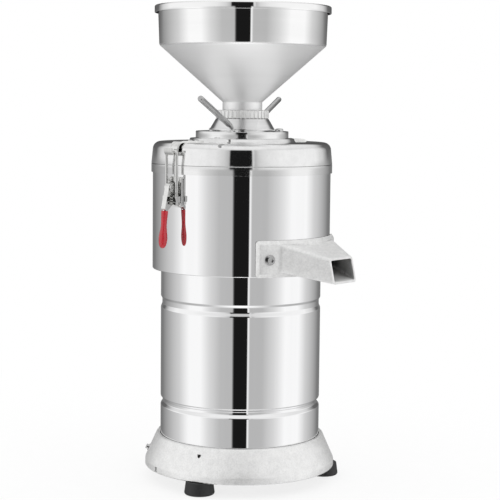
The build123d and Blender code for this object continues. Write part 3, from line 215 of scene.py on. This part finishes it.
def cast_metal(name, colour, rough, grain_strength, grain=480):
    """Sand-blasted casting: coarse grain, mottled patches, and painted shade in its hollows, darkened into
    the base colour.
    """
    material, tree, shader = node_material(name)
    shader.inputs["Metallic"].default_value = 0.65
    fine = noise(tree, grain, 3, 0.7)
    patches = noise(tree, 110, 4, 0.6)
    mixed = tree.nodes.new("ShaderNodeMix")
    mixed.inputs["Factor"].default_value = 0.4
    tree.links.new(fine, mixed.inputs["A"])
    tree.links.new(patches, mixed.inputs["B"])
    low = tuple(c * 0.88 for c in colour)
    high = tuple(min(1, c * 1.07) for c in colour)
    tint = ramp(tree, mixed.outputs["Result"], [(0.36, low), (0.64, high)])
    # Painted shade: ambient occlusion darkens the base colour in hollows and recesses, down to 0.12 at the
    # deepest.
    painted_hollow_shade = tree.nodes.new("ShaderNodeAmbientOcclusion")
    painted_hollow_shade.samples = 6
    painted_hollow_shade.inputs["Distance"].default_value = 0.03
    depth = ramp(tree, painted_hollow_shade.outputs["AO"], [(0.15, 0.12), (0.62, 1.0)])
    shaded = tree.nodes.new("ShaderNodeMix")
    shaded.data_type = "RGBA"
    shaded.blend_type = "MULTIPLY"
    shaded.inputs["Factor"].default_value = 1
    tree.links.new(tint, shaded.inputs["A"])
    tree.links.new(depth, shaded.inputs["B"])
    tree.links.new(shaded.outputs["Result"], shader.inputs["Base Color"])
    tree.links.new(ramp(tree, fine, [(0.3, rough * 0.85), (0.7, rough * 1.2)]), shader.inputs["Roughness"])
    bump(tree, shader, mixed.outputs["Result"], grain_strength, 0.0008)
    return material


def hopper_metal(name):
    """Spun steel: a mirror wall above the cone and a satin cone below it."""
    material, tree, shader = node_material(name)
    place = tree.nodes.new("ShaderNodeTexCoord")
    split = tree.nodes.new("ShaderNodeSeparateXYZ")
    level = tree.nodes.new("ShaderNodeMapRange")
    wall_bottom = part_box("hopper")[1].z - HOPPER_WALL * MM
    level.inputs["From Min"].default_value = wall_bottom - 2 * MM
    level.inputs["From Max"].default_value = wall_bottom + 2 * MM
    tree.links.new(place.outputs["Object"], split.inputs["Vector"])
    tree.links.new(split.outputs["Z"], level.inputs["Value"])
    mirror = level.outputs["Result"]
    tree.links.new(ramp(tree, mirror, [(0.0, 0.4), (1.0, 0.03)]), shader.inputs["Roughness"])
    tree.links.new(ramp(tree, mirror, [(0.0, 0.72), (1.0, 1.0)]), shader.inputs["Metallic"])
    rings = noise(tree, 60, 4, 0.6, (0.05, 0.05, 1))
    tree.links.new(ramp(tree, rings, [(0.3, 0.92), (0.7, 0.965)]), shader.inputs["Base Color"])
    bump(tree, shader, rings, 0.01, 0.0004)
    return material


def plain(name, colour, rough, scale, strength, metallic=0.0, coat=0.0, spread=0.12):
    """Moulded or rubber surface with a fine texture and slight colour variation."""
    material, tree, shader = node_material(name)
    shader.inputs["Metallic"].default_value = metallic
    shader.inputs["Coat Weight"].default_value = coat
    shader.inputs["Coat Roughness"].default_value = 0.12
    texture = noise(tree, scale, 4)
    low = tuple(c * (1 - spread) for c in colour)
    high = tuple(min(1, c * (1 + spread)) for c in colour)
    smooth, coarse = rough * 0.85, rough * 1.15
    tree.links.new(ramp(tree, texture, [(0.3, low), (0.7, high)]), shader.inputs["Base Color"])
    tree.links.new(ramp(tree, texture, [(0.3, smooth), (0.7, coarse)]), shader.inputs["Roughness"])
    bump(tree, shader, texture, strength, 0.0005)
    return material


MATERIALS = {
    "shell_steel": metal("shell_steel", (0.93, 0.93, 0.935), 0.022, 9, 60, (1, 1, 0.02), 0.004, 0.02),
    "hopper_steel": hopper_metal("hopper_steel"),
    "lid_metal": metal("lid_metal", (0.88, 0.88, 0.88), 0.05, 12, 90, (1, 1, 1), 0.01),
    "turned_metal": metal("turned_metal", (0.84, 0.84, 0.84), 0.1, 20, 260, (0.02, 0.02, 1), 0.04, 0.06),
    "rod_steel": metal("rod_steel", (0.52, 0.52, 0.52), 0.2, 30, 200, (1, 1, 1), 0.06, 0.1),
    "latch_steel": metal("latch_steel", (0.8, 0.8, 0.79), 0.12, 40, 220, (1, 1, 0.2), 0.05, 0.1),
    "screw_steel": metal("screw_steel", (0.66, 0.66, 0.66), 0.15, 60, 400, (1, 1, 1), 0.06, 0.1),
    "bowl_cast": metal("bowl_cast", (0.84, 0.84, 0.84), 0.07, 14, 120, (0.05, 0.05, 1), 0.02),
    "ring_metal": cast_metal("ring_metal", (0.94, 0.94, 0.93), 0.45, 0.05, 900),
    "cast_base": cast_metal("cast_base", (0.92, 0.92, 0.915), 0.4, 0.22),
    "cast_spout": cast_metal("cast_spout", (0.88, 0.88, 0.875), 0.48, 0.3, 380),
    "motor_iron": cast_metal("motor_iron", (0.34, 0.35, 0.36), 0.6, 0.2, 900),
    "disc_stone": plain("disc_stone", (0.42, 0.4, 0.38), 0.85, 700, 0.5, spread=0.35),
    "winding_copper": plain("winding_copper", (0.6, 0.27, 0.12), 0.35, 300, 0.3, metallic=0.8),
    "foot_rubber": plain("foot_rubber", (0.014, 0.014, 0.015), 0.5, 500, 0.12, spread=0.3),
    "seal_rubber": plain("seal_rubber", (0.1, 0.1, 0.1), 0.6, 500, 0.1),
    "black_plastic": plain("black_plastic", (0.025, 0.025, 0.027), 0.4, 600, 0.12, spread=0.25),
    "grip_vinyl": plain("grip_vinyl", (0.47, 0.003, 0.014), 0.28, 160, 0.03, coat=0.8, spread=0.08),
}


def dress(piece, body, slot, *nodes):
    """Gives a new piece its material and its body, and hides the CAD nodes that it stands for."""
    piece.data.materials.clear()
    piece.data.materials.append(MATERIALS[slot])
    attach(piece, body)
    if nodes:
        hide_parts(*nodes)
    return piece


def smooth_group():
    """Node group that shades smooth and keeps real edges sharp, for the CAD nodes that stay."""
    group = bpy.data.node_groups.new("smooth_by_angle", "GeometryNodeTree")
    group.interface.new_socket("Geometry", in_out="INPUT", socket_type="NodeSocketGeometry")
    group.interface.new_socket("Geometry", in_out="OUTPUT", socket_type="NodeSocketGeometry")
    start = group.nodes.new("NodeGroupInput")
    end = group.nodes.new("NodeGroupOutput")
    merge = group.nodes.new("GeometryNodeMergeByDistance")
    merge.inputs["Distance"].default_value = 1e-6
    faces = group.nodes.new("GeometryNodeSetShadeSmooth")
    edges = group.nodes.new("GeometryNodeSetShadeSmooth")
    edges.domain = "EDGE"
    edges.inputs["Shade Smooth"].default_value = False
    angle = group.nodes.new("GeometryNodeInputMeshEdgeAngle")
    sharp = group.nodes.new("FunctionNodeCompare")
    sharp.operation = "GREATER_THAN"
    sharp.inputs["B"].default_value = math.radians(32)
    group.links.new(start.outputs[0], merge.inputs["Geometry"])
    group.links.new(merge.outputs["Geometry"], faces.inputs["Geometry"])
    group.links.new(faces.outputs["Geometry"], edges.inputs["Geometry"])
    group.links.new(angle.outputs["Unsigned Angle"], sharp.inputs["A"])
    group.links.new(sharp.outputs["Result"], edges.inputs["Selection"])
    group.links.new(edges.outputs["Geometry"], end.inputs[0])
    return group


smoothing = smooth_group()
node_slots = {entry["node"]: entry["material_slot"] for entry in frame["record"]["subparts"]}
for node_name, node in frame["nodes"].items():
    node.data.materials.clear()
    node.data.materials.append(MATERIALS[node_slots[node_name]])
    modifier = node.modifiers.new("smooth", "NODES")
    modifier.node_group = smoothing

# Turned pieces, each following the CAD node that it stands for
SHEET = 1.2
shell_low, shell_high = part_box("lower_shell")
upper_low, upper_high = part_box("upper_shell")
bowl_low, bowl_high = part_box("grinding_bowl")
lid_low, lid_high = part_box("lid")
flange_low, flange_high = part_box("guide_flange")
hub_low, hub_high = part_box("adjusting_hub")
ring_low, ring_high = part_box("lock_ring")
hopper_low, hopper_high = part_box("hopper")
spigot_low, spigot_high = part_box("hopper_spigot")
base_low, base_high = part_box("base_casting")


def lower_shell():
    """Lower shell with its two rolled beads."""
    radius = 111.7
    bottom, top = shell_low.z / MM, shell_high.z / MM
    low, high = base_high.z / MM + 47, top - 46
    outside = [
        (radius, bottom, 0),
        (radius, low - 6, 3), (radius - 3.5, low - 2, 2.4),
        (radius - 3.5, low + 2, 2.4), (radius, low + 6, 3),
        (radius, high - 8.5, 6), (radius - 2, high - 3.5, 6),
        (radius - 2, high + 3.5, 4), (radius, high + 7, 2.5),
        (radius, top, 0),
    ]
    inside = [(r - SHEET, z, max(0, rounding)) for r, z, rounding in reversed(outside)]
    return dress(lathe("lower_shell_sheet", outside + inside), "frame", "shell_steel", "lower_shell")


def upper_shell():
    """Upper shell, a plain tube with a hemmed lower edge."""
    radius = 123.6
    bottom, top = upper_low.z / MM, upper_high.z / MM
    outline = [
        (radius - SHEET, bottom, 0), (radius - 0.5, bottom, 0), (radius, bottom + 0.6, 0),
        (radius, top, 0), (radius - SHEET, top, 0),
    ]
    return dress(lathe("upper_shell_sheet", outline), "frame", "shell_steel", "upper_shell")


def bowl_rim():
    """Polished rim of the bowl, seen as a ring between the upper shell and the lid."""
    bottom, top = upper_high.z / MM, bowl_high.z / MM
    outline = [
        (120, bottom + 0.02, 0), (125.62, bottom + 0.02, 0.5),
        (125.62, top - 0.05, 0.8), (120, top - 0.05, 0),
    ]
    return dress(lathe("bowl_rim_band", outline), "frame", "bowl_cast")


def lid_piece():
    """Polished lid with its rounded shoulder and raised boss."""
    bottom, top = lid_low.z / MM, lid_high.z / MM
    deck = top - 4.9
    outline = [
        (112, bottom, 0), (125.6, bottom, 0.5), (122.8, deck, 10.5), (74, deck, 2), (72, top, 0.8),
        (40.1, top, 0), (40.1, deck - 8.8, 0), (106, deck - 8.8, 6),
        (106, bottom + 1.7, 0), (112, bottom + 1.7, 0),
    ]
    return dress(lathe("lid_casting", outline), "frame", "lid_metal", "lid")


def flange_piece():
    """Guide flange with turned edges."""
    bottom, top = flange_low.z / MM, flange_high.z / MM
    step = top - 9.8
    outline = [
        (33.05, bottom, 0), (40, bottom, 0), (40, step, 0),
        (64.4, step, 0.5), (64.4, top, 0.9), (33.05, top, 0),
    ]
    return dress(lathe("guide_flange_disc", outline), "frame", "turned_metal", "guide_flange")


def hub_piece():
    """Adjusting hub, a turned cone with a small lip."""
    bottom, top = hub_low.z / MM, hub_high.z / MM
    outline = [
        (33.1, bottom, 0), (45, bottom, 0.4), (45, bottom + 2, 0.4), (44.3, bottom + 2.2, 0.3),
        (36.5, top, 1.2), (33.1, top, 0),
    ]
    return dress(lathe("hub_cone", outline), "hub", "turned_metal", "adjusting_hub")


def lock_ring():
    """Fluted ring with rounded ends."""
    bottom, top = ring_low.z / MM, ring_high.z / MM
    flutes = 38
    around = flutes * 12
    levels = [(bottom, 1.4), (bottom + 0.5, 0.5), (bottom + 1.2, 0),
              (top - 1.2, 0), (top - 0.5, 0.5), (top, 1.4)]
    vertices = []
    for height, inset in levels:
        for step in range(around):
            turn = 2 * math.pi * step / around
            wave = math.cos(flutes * turn)
            depth = max(0.0, wave) ** 0.7 * 1.25
            radius = 36.8 - max(depth, inset)
            vertices.append((radius * math.cos(turn), radius * math.sin(turn), height))
    for height in (top, bottom):
        for step in range(around):
            turn = 2 * math.pi * step / around
            vertices.append((33.1 * math.cos(turn), 33.1 * math.sin(turn), height))
    rings = len(levels) + 2
    faces = []
    for ring in range(rings):
        above = (ring + 1) % rings
        for step in range(around):
            beside = (step + 1) % around
            faces.append((ring * around + step, ring * around + beside,
                          above * around + beside, above * around + step))
    return dress(from_faces("lock_ring_fluted", vertices, faces), "ring", "ring_metal", "lock_ring")


def hopper_piece():
    """Spun hopper: collar, cone, straight wall and rolled lip."""
    top = hopper_high.z / MM
    wall_bottom = top - HOPPER_WALL
    cone_bottom = wall_bottom - 77.5
    collar_bottom = cone_bottom - 11
    outline = [
        (21.5, spigot_low.z / MM, 0), (23.7, spigot_low.z / MM, 0.4), (23.7, collar_bottom, 0),
        (27.5, collar_bottom, 0.6), (27.5, cone_bottom, 1), (115.3, wall_bottom, 5),
        (117.2, top - 1.2, 1.2), (120.6, top - 1.2, 1.2), (120.6, top - 10, 0), (121.8, top - 10, 0.4),
        (121.8, top, 2.4), (116, top, 2.2), (114.1, wall_bottom + 0.6, 4), (21.5, cone_bottom - 3.5, 4),
    ]
    return dress(lathe("hopper_spun", outline), "hopper", "hopper_steel", "hopper", "hopper_spigot")


def loft_rings(name, rings, closed_ends=False):
    """Skin over rings that have the same number of points, in millimetres."""
    count = len(rings[0])
    vertices = [point for ring in rings for point in ring]
    faces = []
    for level in range(len(rings) if closed_ends else len(rings) - 1):
        above = (level + 1) % len(rings)
        for step in range(count):
            beside = (step + 1) % count
            faces.append((level * count + step, level * count + beside,
                          above * count + beside, above * count + step))
    return from_faces(name, vertices, faces)


def rectangle_outline(width, height, rounding, edge_steps=14, corner_steps=8):
    """Points round a rectangle with rounded corners, always the same number of them."""
    points = []
    half_x, half_y = width / 2 - rounding, height / 2 - rounding
    for quarter, (sign_x, sign_y) in enumerate(((1, 1), (-1, 1), (-1, -1), (1, -1))):
        for step in range(corner_steps + 1):
            turn = math.radians(90 * quarter + 90 * step / corner_steps)
            points.append((sign_x * half_x + rounding * math.cos(turn),
                           sign_y * half_y + rounding * math.sin(turn)))
        next_x, next_y = ((-1, 1), (-1, -1), (1, -1), (1, 1))[quarter]
        turn = math.radians(90 * (quarter + 1))
        start = Vector(points[-1])
        end = Vector((next_x * half_x + rounding * math.cos(turn),
                      next_y * half_y + rounding * math.sin(turn)))
        for step in range(1, edge_steps):
            points.append(tuple(start.lerp(end, step / edge_steps)))
    return points


def spout_piece():
    """Cast spout: curved flange with a bevelled rim and a tapering horn that grows out of it in a fillet."""
    face, back = 129.4, 124.6
    middle = upper_low.z / MM - 0.5 + 24.65
    half_angle = 40.8
    span = math.radians(2 * half_angle) * face
    root_level = upper_low.z / MM + 27.1
    mouth_level = root_level - 17.2
    mouth_reach = 177.8
    lean = math.radians(13)

    def on_flange(x, z, radius):
        turn = x / face
        return Vector((math.sin(turn) * radius, -math.cos(turn) * radius, middle + z))

    def flange_ring(inset, radius):
        outline = rectangle_outline(span - 2 * inset, 49.3 - 2 * inset, max(4.5 - 0.4 * inset, 1.5))
        return [on_flange(x, z, radius) for x, z in outline]

    def section(width, height, rounding, at_mouth):
        ring = []
        for x, z in rectangle_outline(width, height, rounding):
            if at_mouth:
                ring.append(Vector((x, -mouth_reach + z * math.sin(lean), mouth_level + z * math.cos(lean))))
            else:
                ring.append(Vector((x, -110, root_level + z)))
        return ring

    def crossing(start, end, radius):
        low_share, high_share = -0.3, 1.0
        for _ in range(40):
            share = (low_share + high_share) / 2
            point = start.lerp(end, share)
            if math.hypot(point.x, point.y) < radius:
                low_share = share
            else:
                high_share = share
        return low_share

    outer_root, outer_mouth = section(121, 42, 8, False), section(50, 34.7, 4.5, True)
    inner_root, inner_mouth = section(114.6, 35.6, 5, False), section(43.6, 28.3, 2, True)
    starts = [crossing(a, b, face) for a, b in zip(outer_root, outer_mouth)]
    feet = [a.lerp(b, s) for a, b, s in zip(outer_root, outer_mouth, starts)]
    centre = Vector((0, -face, root_level))
    rim = flange_ring(5.2, face)
    rings = [flange_ring(0, back), flange_ring(0, back + 1.2), flange_ring(0.5, back + 1.8),
             flange_ring(4.2, face - 0.5), flange_ring(4.7, face - 0.12)]
    toes = []
    for foot in feet:
        flat = Vector((math.atan2(foot.x, -foot.y) * face, foot.z - middle))
        away = Vector((math.copysign(min(1, abs(flat.x) / 55) ** 6, flat.x), (foot.z - centre.z) / 21))
        away = away.normalized() * 4
        level = max(-18.6, min(18.6, flat.y + away.y))
        toes.append((flat.x + away.x, level))
    for step in range(6):
        share = step / 6
        ring = []
        for edge, toe in zip(rim, toes):
            edge_x = math.atan2(edge.x, -edge.y) * face
            x = edge_x + (toe[0] - edge_x) * share
            z = (edge.z - middle) + (toe[1] - (edge.z - middle)) * share
            ring.append(on_flange(x, z, face))
        rings.append(ring)
    for step in range(7):
        s = step / 6
        ring = []
        for toe, foot, start, end in zip(toes, feet, outer_root, outer_mouth):
            along = (end - start).normalized() * 4.5
            first = on_flange(toe[0], toe[1], face)
            ring.append(first * (1 - s) ** 2 + foot * 2 * s * (1 - s) + (foot + along) * s ** 2)
        rings.append(ring)
    for step in range(1, 17):
        ring = []
        for foot, end in zip(feet, outer_mouth):
            along = (end - foot).normalized()
            first, last = foot + along * 4.5, end - along * 0.8
            ring.append(first.lerp(last, step / 16))
        rings.append(ring)
    rings.append([o.lerp(i, 0.28) for o, i in zip(outer_mouth, inner_mouth)])
    rings.append([o.lerp(i, 0.8) for o, i in zip(outer_mouth, inner_mouth)])
    for step in range(13):
        share = step / 12
        rings.append([m.lerp(r, 0.01 + share * 0.99) for m, r in zip(inner_mouth, inner_root)])
    piece = loft_rings("spout_casting", rings)
    return dress(piece, "frame", "cast_spout", "spout")


def rod(name, body, slot, start, along, outline, *nodes):
    """Turned rod from a (radius, distance, rounding) outline, laid along a direction."""
    piece = lathe(name, outline, closed=False, around=48)
    turn = Vector((0, 0, 1)).rotation_difference(along)
    piece.data.transform(Matrix.Translation(start) @ turn.to_matrix().to_4x4())
    return dress(piece, body, slot, *nodes)


def handles():
    """Polished rods with a short neck and a rounded end."""
    rise = math.radians(18.5)
    height = hub_low.z / MM + 5.5
    for name, node, angle in (("handle_rod_front", "front_handle", HANDLE),
                              ("handle_rod_rear", "rear_handle", HANDLE + 180)):
        along = outward(angle) * math.cos(rise) + Vector((0, 0, math.sin(rise)))
        start = at(angle, 44, height)
        outline = [
            (0.01, -6, 0), (2.5, -6, 0), (2.5, 0, 0), (2.9, 0, 0.3), (3, 1.5, 0), (4, 12, 2), (4, 119, 2),
            (0.01, 119, 0),
        ]
        rod(name, "hub", "rod_steel", start, along, outline, node)


def bail_threads():
    """Threads on the lower legs of the U-bolts."""
    for side, angle in (("left", LEFT_LATCH), ("right", RIGHT_LATCH)):
        low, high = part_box(f"{side}_latch_bail")
        sideways = Vector((0, 0, 1)).cross(outward(angle))
        bottom = low.z / MM
        for number, offset in enumerate((-10, 10)):
            foot = outward(angle) * 131.4 * MM + sideways * offset * MM
            foot.z = bottom * MM
            outline = [(1.6, 0.1, 0)]
            for turn in range(26):
                level = 0.5 + turn * 0.7
                outline += [(2.03, level, 0), (2.03, level + 0.15, 0),
                            (2.28, level + 0.35, 0), (2.03, level + 0.55, 0)]
            outline.append((1.9, 19.2, 0))
            rod(f"{side}_thread_{number}", f"{side}_bail", "latch_steel", foot, Vector((0, 0, 1)), outline)


def rivets():
    """Domed rivets that hold the latch bases to the shell and the catch plates to the lid."""
    dome = [(3.1, -0.6, 0), (3.1, 0.2, 0), (2.7, 0.9, 0.6), (1.4, 1.5, 0.8), (0.01, 1.6, 0)]
    for side, angle in (("left", LEFT_LATCH), ("right", RIGHT_LATCH)):
        base_low, base_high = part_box(f"{side}_latch_base")
        bottom, top = base_low.z / MM, base_high.z / MM
        sideways = Vector((0, 0, 1)).cross(outward(angle))
        spots = ((-9.3, bottom + 4), (9.3, bottom + 4), (-9.3, top - 4), (9.3, top - 4))
        for number, (offset, level) in enumerate(spots):
            spot = outward(angle) * 125.9 * MM + sideways * offset * MM
            spot.z = level * MM
            rod(f"{side}_rivet_{number}", "frame", "latch_steel", spot, outward(angle), dome)
        plate_low, plate_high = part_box(f"{side}_catch_plate")
        for number, radius in enumerate((86, 98)):
            spot = outward(angle) * radius * MM
            spot.z = plate_high.z
            rod(f"{side}_plate_rivet_{number}", "frame", "screw_steel", spot, Vector((0, 0, 1)), dome)


def shell_seam():
    """Fine weld seam down the back of both shells."""
    for name, radius, bottom, top in (("lower_seam", 111.7, shell_low.z / MM + 2, 200),
                                      ("upper_seam", 123.6, upper_low.z / MM + 1, upper_high.z / MM - 1)):
        rings = []
        for level in (bottom, top):
            for turn, stand in ((-0.5, -0.05), (-0.25, 0.12), (0.25, 0.12), (0.5, -0.05)):
                spot = outward(-150 + turn) * (radius + stand)
                rings.append((spot.x, spot.y, level))
        faces = [(0, 1, 5, 4), (1, 2, 6, 5), (2, 3, 7, 6)]
        dress(from_faces(name, rings, faces), "frame", "latch_steel")


lower_shell()
upper_shell()
bowl_rim()
lid_piece()
flange_piece()
hub_piece()
lock_ring()
hopper_piece()
spout_piece()
handles()
bail_threads()
rivets()
shell_seam()


# Stage, light and camera


def camera():
    """Camera at the photograph's angle, slightly above the middle and looking a little down."""
    front = outward(CAMERA_TURN)
    right = Vector((math.cos(math.radians(CAMERA_TURN)), math.sin(math.radians(CAMERA_TURN)), 0))
    aim = right * AIM_SIDE + Vector((0, 0, AIM_HEIGHT))
    eye = right * AIM_SIDE + front * CAMERA_DISTANCE + Vector((0, 0, CAMERA_HEIGHT))
    data = bpy.data.cameras.new("camera")
    data.sensor_width = 36
    distance = (eye - aim).length
    data.lens = distance / METRES_PER_PIXEL / IMAGE_PIXELS * data.sensor_width
    data.clip_end = 50
    view = bpy.data.objects.new("camera", data)
    bpy.context.scene.collection.objects.link(view)
    view.location = eye
    view.rotation_mode = "QUATERNION"
    look = (aim - eye).to_track_quat("-Z", "Y")
    roll = Matrix.Rotation(math.radians(CAMERA_ROLL), 4, "Z").to_quaternion()
    view.rotation_quaternion = look @ roll
    bpy.context.scene.camera = view


def studio_world():
    """White studio: broad side lights, grey behind, and a dark panel where the camera stands."""
    world = bpy.data.worlds.new("studio")
    bpy.context.scene.world = world
    world.use_nodes = True
    tree = world.node_tree
    tree.nodes.clear()
    out = tree.nodes.new("ShaderNodeOutputWorld")
    place = tree.nodes.new("ShaderNodeTexCoord")
    turned = tree.nodes.new("ShaderNodeMapping")
    turned.inputs["Rotation"].default_value = (0, 0, math.radians(90 - CAMERA_TURN))
    split = tree.nodes.new("ShaderNodeSeparateXYZ")
    angle = tree.nodes.new("ShaderNodeMath")
    angle.operation = "ARCTAN2"
    share = tree.nodes.new("ShaderNodeMapRange")
    share.inputs["From Min"].default_value = -math.pi
    share.inputs["From Max"].default_value = math.pi
    tree.links.new(place.outputs["Generated"], turned.inputs["Vector"])
    tree.links.new(turned.outputs["Vector"], split.inputs["Vector"])
    tree.links.new(split.outputs["Y"], angle.inputs[0])
    tree.links.new(split.outputs["X"], angle.inputs[1])
    tree.links.new(angle.outputs[0], share.inputs["Value"])

    def around(left, right, line, left_side, right_side):
        stops = [(-turn, grey) for turn, grey in reversed(left_side)]
        stops += [(-left - 0.5, 0.5), (-left, 0.01), (right, 0.01), (right + 0.4, line), (right + 2.2, line),
                  (right + 3.4, 0.5)]
        stops += right_side
        return ramp(tree, share.outputs["Result"], [(turn / 360 + 0.5, grey) for turn, grey in stops])

    def by_height(low, high):
        node = tree.nodes.new("ShaderNodeMapRange")
        node.interpolation_type = "SMOOTHSTEP"
        node.inputs["From Min"].default_value = low
        node.inputs["From Max"].default_value = high
        tree.links.new(split.outputs["Z"], node.inputs["Value"])
        return node.outputs["Result"]

    def blend(factor, first, second):
        node = tree.nodes.new("ShaderNodeMix")
        node.data_type = "RGBA"
        tree.links.new(factor, node.inputs["Factor"])
        tree.links.new(first, node.inputs["A"])
        tree.links.new(second, node.inputs["B"])
        return node.outputs["Result"]

    left_low = [(28, 0.52), (44, 0.72), (58, 1.0), (78, 1.0),
                (98, 0.66), (122, 0.44), (150, 0.2), (180, 0.2)]
    right_low = [(32, 0.5), (50, 0.72), (68, 1.0), (92, 1.0),
                 (108, 0.68), (128, 0.46), (150, 0.2), (180, 0.2)]
    both_high = [(22, 0.7), (34, 0.85), (50, 0.93), (75, 0.96),
                 (108, 0.94), (126, 0.66), (142, 0.14), (180, 0.08)]
    low_walls = around(9.7, 9.9, 1.0, left_low, right_low)
    high_walls = around(15, 13.6, 0.7, both_high, both_high)
    walls = blend(by_height(-0.03, 0.05), low_walls, high_walls)
    floor_glow = [(0.0, 0.34), (0.2, 0.42), (0.36, 0.62), (0.5, 0.86),
                  (0.64, 0.62), (0.8, 0.42), (1.0, 0.34)]
    slanting = ramp(tree, share.outputs["Result"], floor_glow)
    above = ramp(tree, by_height(0.4, 0.9), [(0.0, 0.75), (1.0, 0.9)])
    mirrored = blend(by_height(-0.75, -0.4), slanting, blend(by_height(0.35, 0.6), walls, above))
    glossy = tree.nodes.new("ShaderNodeBackground")
    tree.links.new(mirrored, glossy.inputs["Color"])
    strength = tree.nodes.new("ShaderNodeMapRange")
    strength.inputs["From Min"].default_value = -0.97
    strength.inputs["From Max"].default_value = -0.82
    strength.inputs["To Min"].default_value = 1.9
    strength.inputs["To Max"].default_value = 1.0
    tree.links.new(split.outputs["Z"], strength.inputs["Value"])
    tree.links.new(strength.outputs["Result"], glossy.inputs["Strength"])
    even = tree.nodes.new("ShaderNodeBackground")
    tree.links.new(ramp(tree, by_height(-1, 1), [(0.0, 0.72), (0.5, 0.8), (1.0, 1.0)]), even.inputs["Color"])
    even.inputs["Strength"].default_value = 1.15
    white = tree.nodes.new("ShaderNodeBackground")
    white.inputs["Color"].default_value = (1, 1, 1, 1)
    rays = tree.nodes.new("ShaderNodeLightPath")
    surface = tree.nodes.new("ShaderNodeMixShader")
    tree.links.new(rays.outputs["Is Glossy Ray"], surface.inputs[0])
    tree.links.new(even.outputs[0], surface.inputs[1])
    tree.links.new(glossy.outputs[0], surface.inputs[2])
    final = tree.nodes.new("ShaderNodeMixShader")
    tree.links.new(rays.outputs["Is Camera Ray"], final.inputs[0])
    tree.links.new(surface.outputs[0], final.inputs[1])
    tree.links.new(white.outputs[0], final.inputs[2])
    tree.links.new(final.outputs[0], out.inputs["Surface"])


def floor():
    """Pale floor that keeps a soft shadow."""
    mesh = bpy.data.meshes.new("floor")
    reach = 12
    mesh.from_pydata([(-reach, -reach, 0), (reach, -reach, 0), (reach, reach, 0), (-reach, reach, 0)], [],
                     [(0, 1, 2, 3)])
    piece = new_object("floor", mesh)
    material, tree, shader = node_material("floor_paper")
    shader.inputs["Roughness"].default_value = 0.9
    paper = noise(tree, 40, 4)
    tree.links.new(ramp(tree, paper, [(0.3, 0.9), (0.7, 0.93)]), shader.inputs["Base Color"])
    glow = tree.nodes.new("ShaderNodeEmission")
    rays = tree.nodes.new("ShaderNodeLightPath")
    share = tree.nodes.new("ShaderNodeMath")
    share.operation = "MULTIPLY"
    place = tree.nodes.new("ShaderNodeTexCoord")
    away = tree.nodes.new("ShaderNodeVectorMath")
    away.operation = "LENGTH"
    fade = tree.nodes.new("ShaderNodeMapRange")
    fade.interpolation_type = "SMOOTHSTEP"
    fade.inputs["From Min"].default_value = 0.2
    fade.inputs["From Max"].default_value = 0.9
    fade.inputs["To Min"].default_value = 0.78
    fade.inputs["To Max"].default_value = 1.0
    tree.links.new(place.outputs["Object"], away.inputs[0])
    tree.links.new(away.outputs["Value"], fade.inputs["Value"])
    tree.links.new(fade.outputs["Result"], share.inputs[1])
    mix = tree.nodes.new("ShaderNodeMixShader")
    out = tree.nodes["Material Output"]
    tree.links.new(rays.outputs["Is Camera Ray"], share.inputs[0])
    tree.links.new(share.outputs[0], mix.inputs[0])
    tree.links.new(shader.outputs[0], mix.inputs[1])
    tree.links.new(glow.outputs[0], mix.inputs[2])
    tree.links.new(mix.outputs[0], out.inputs["Surface"])
    piece.data.materials.append(material)
    piece.visible_glossy = False


camera()
studio_world()
floor()
bpy.context.scene.view_settings.view_transform = "Standard"
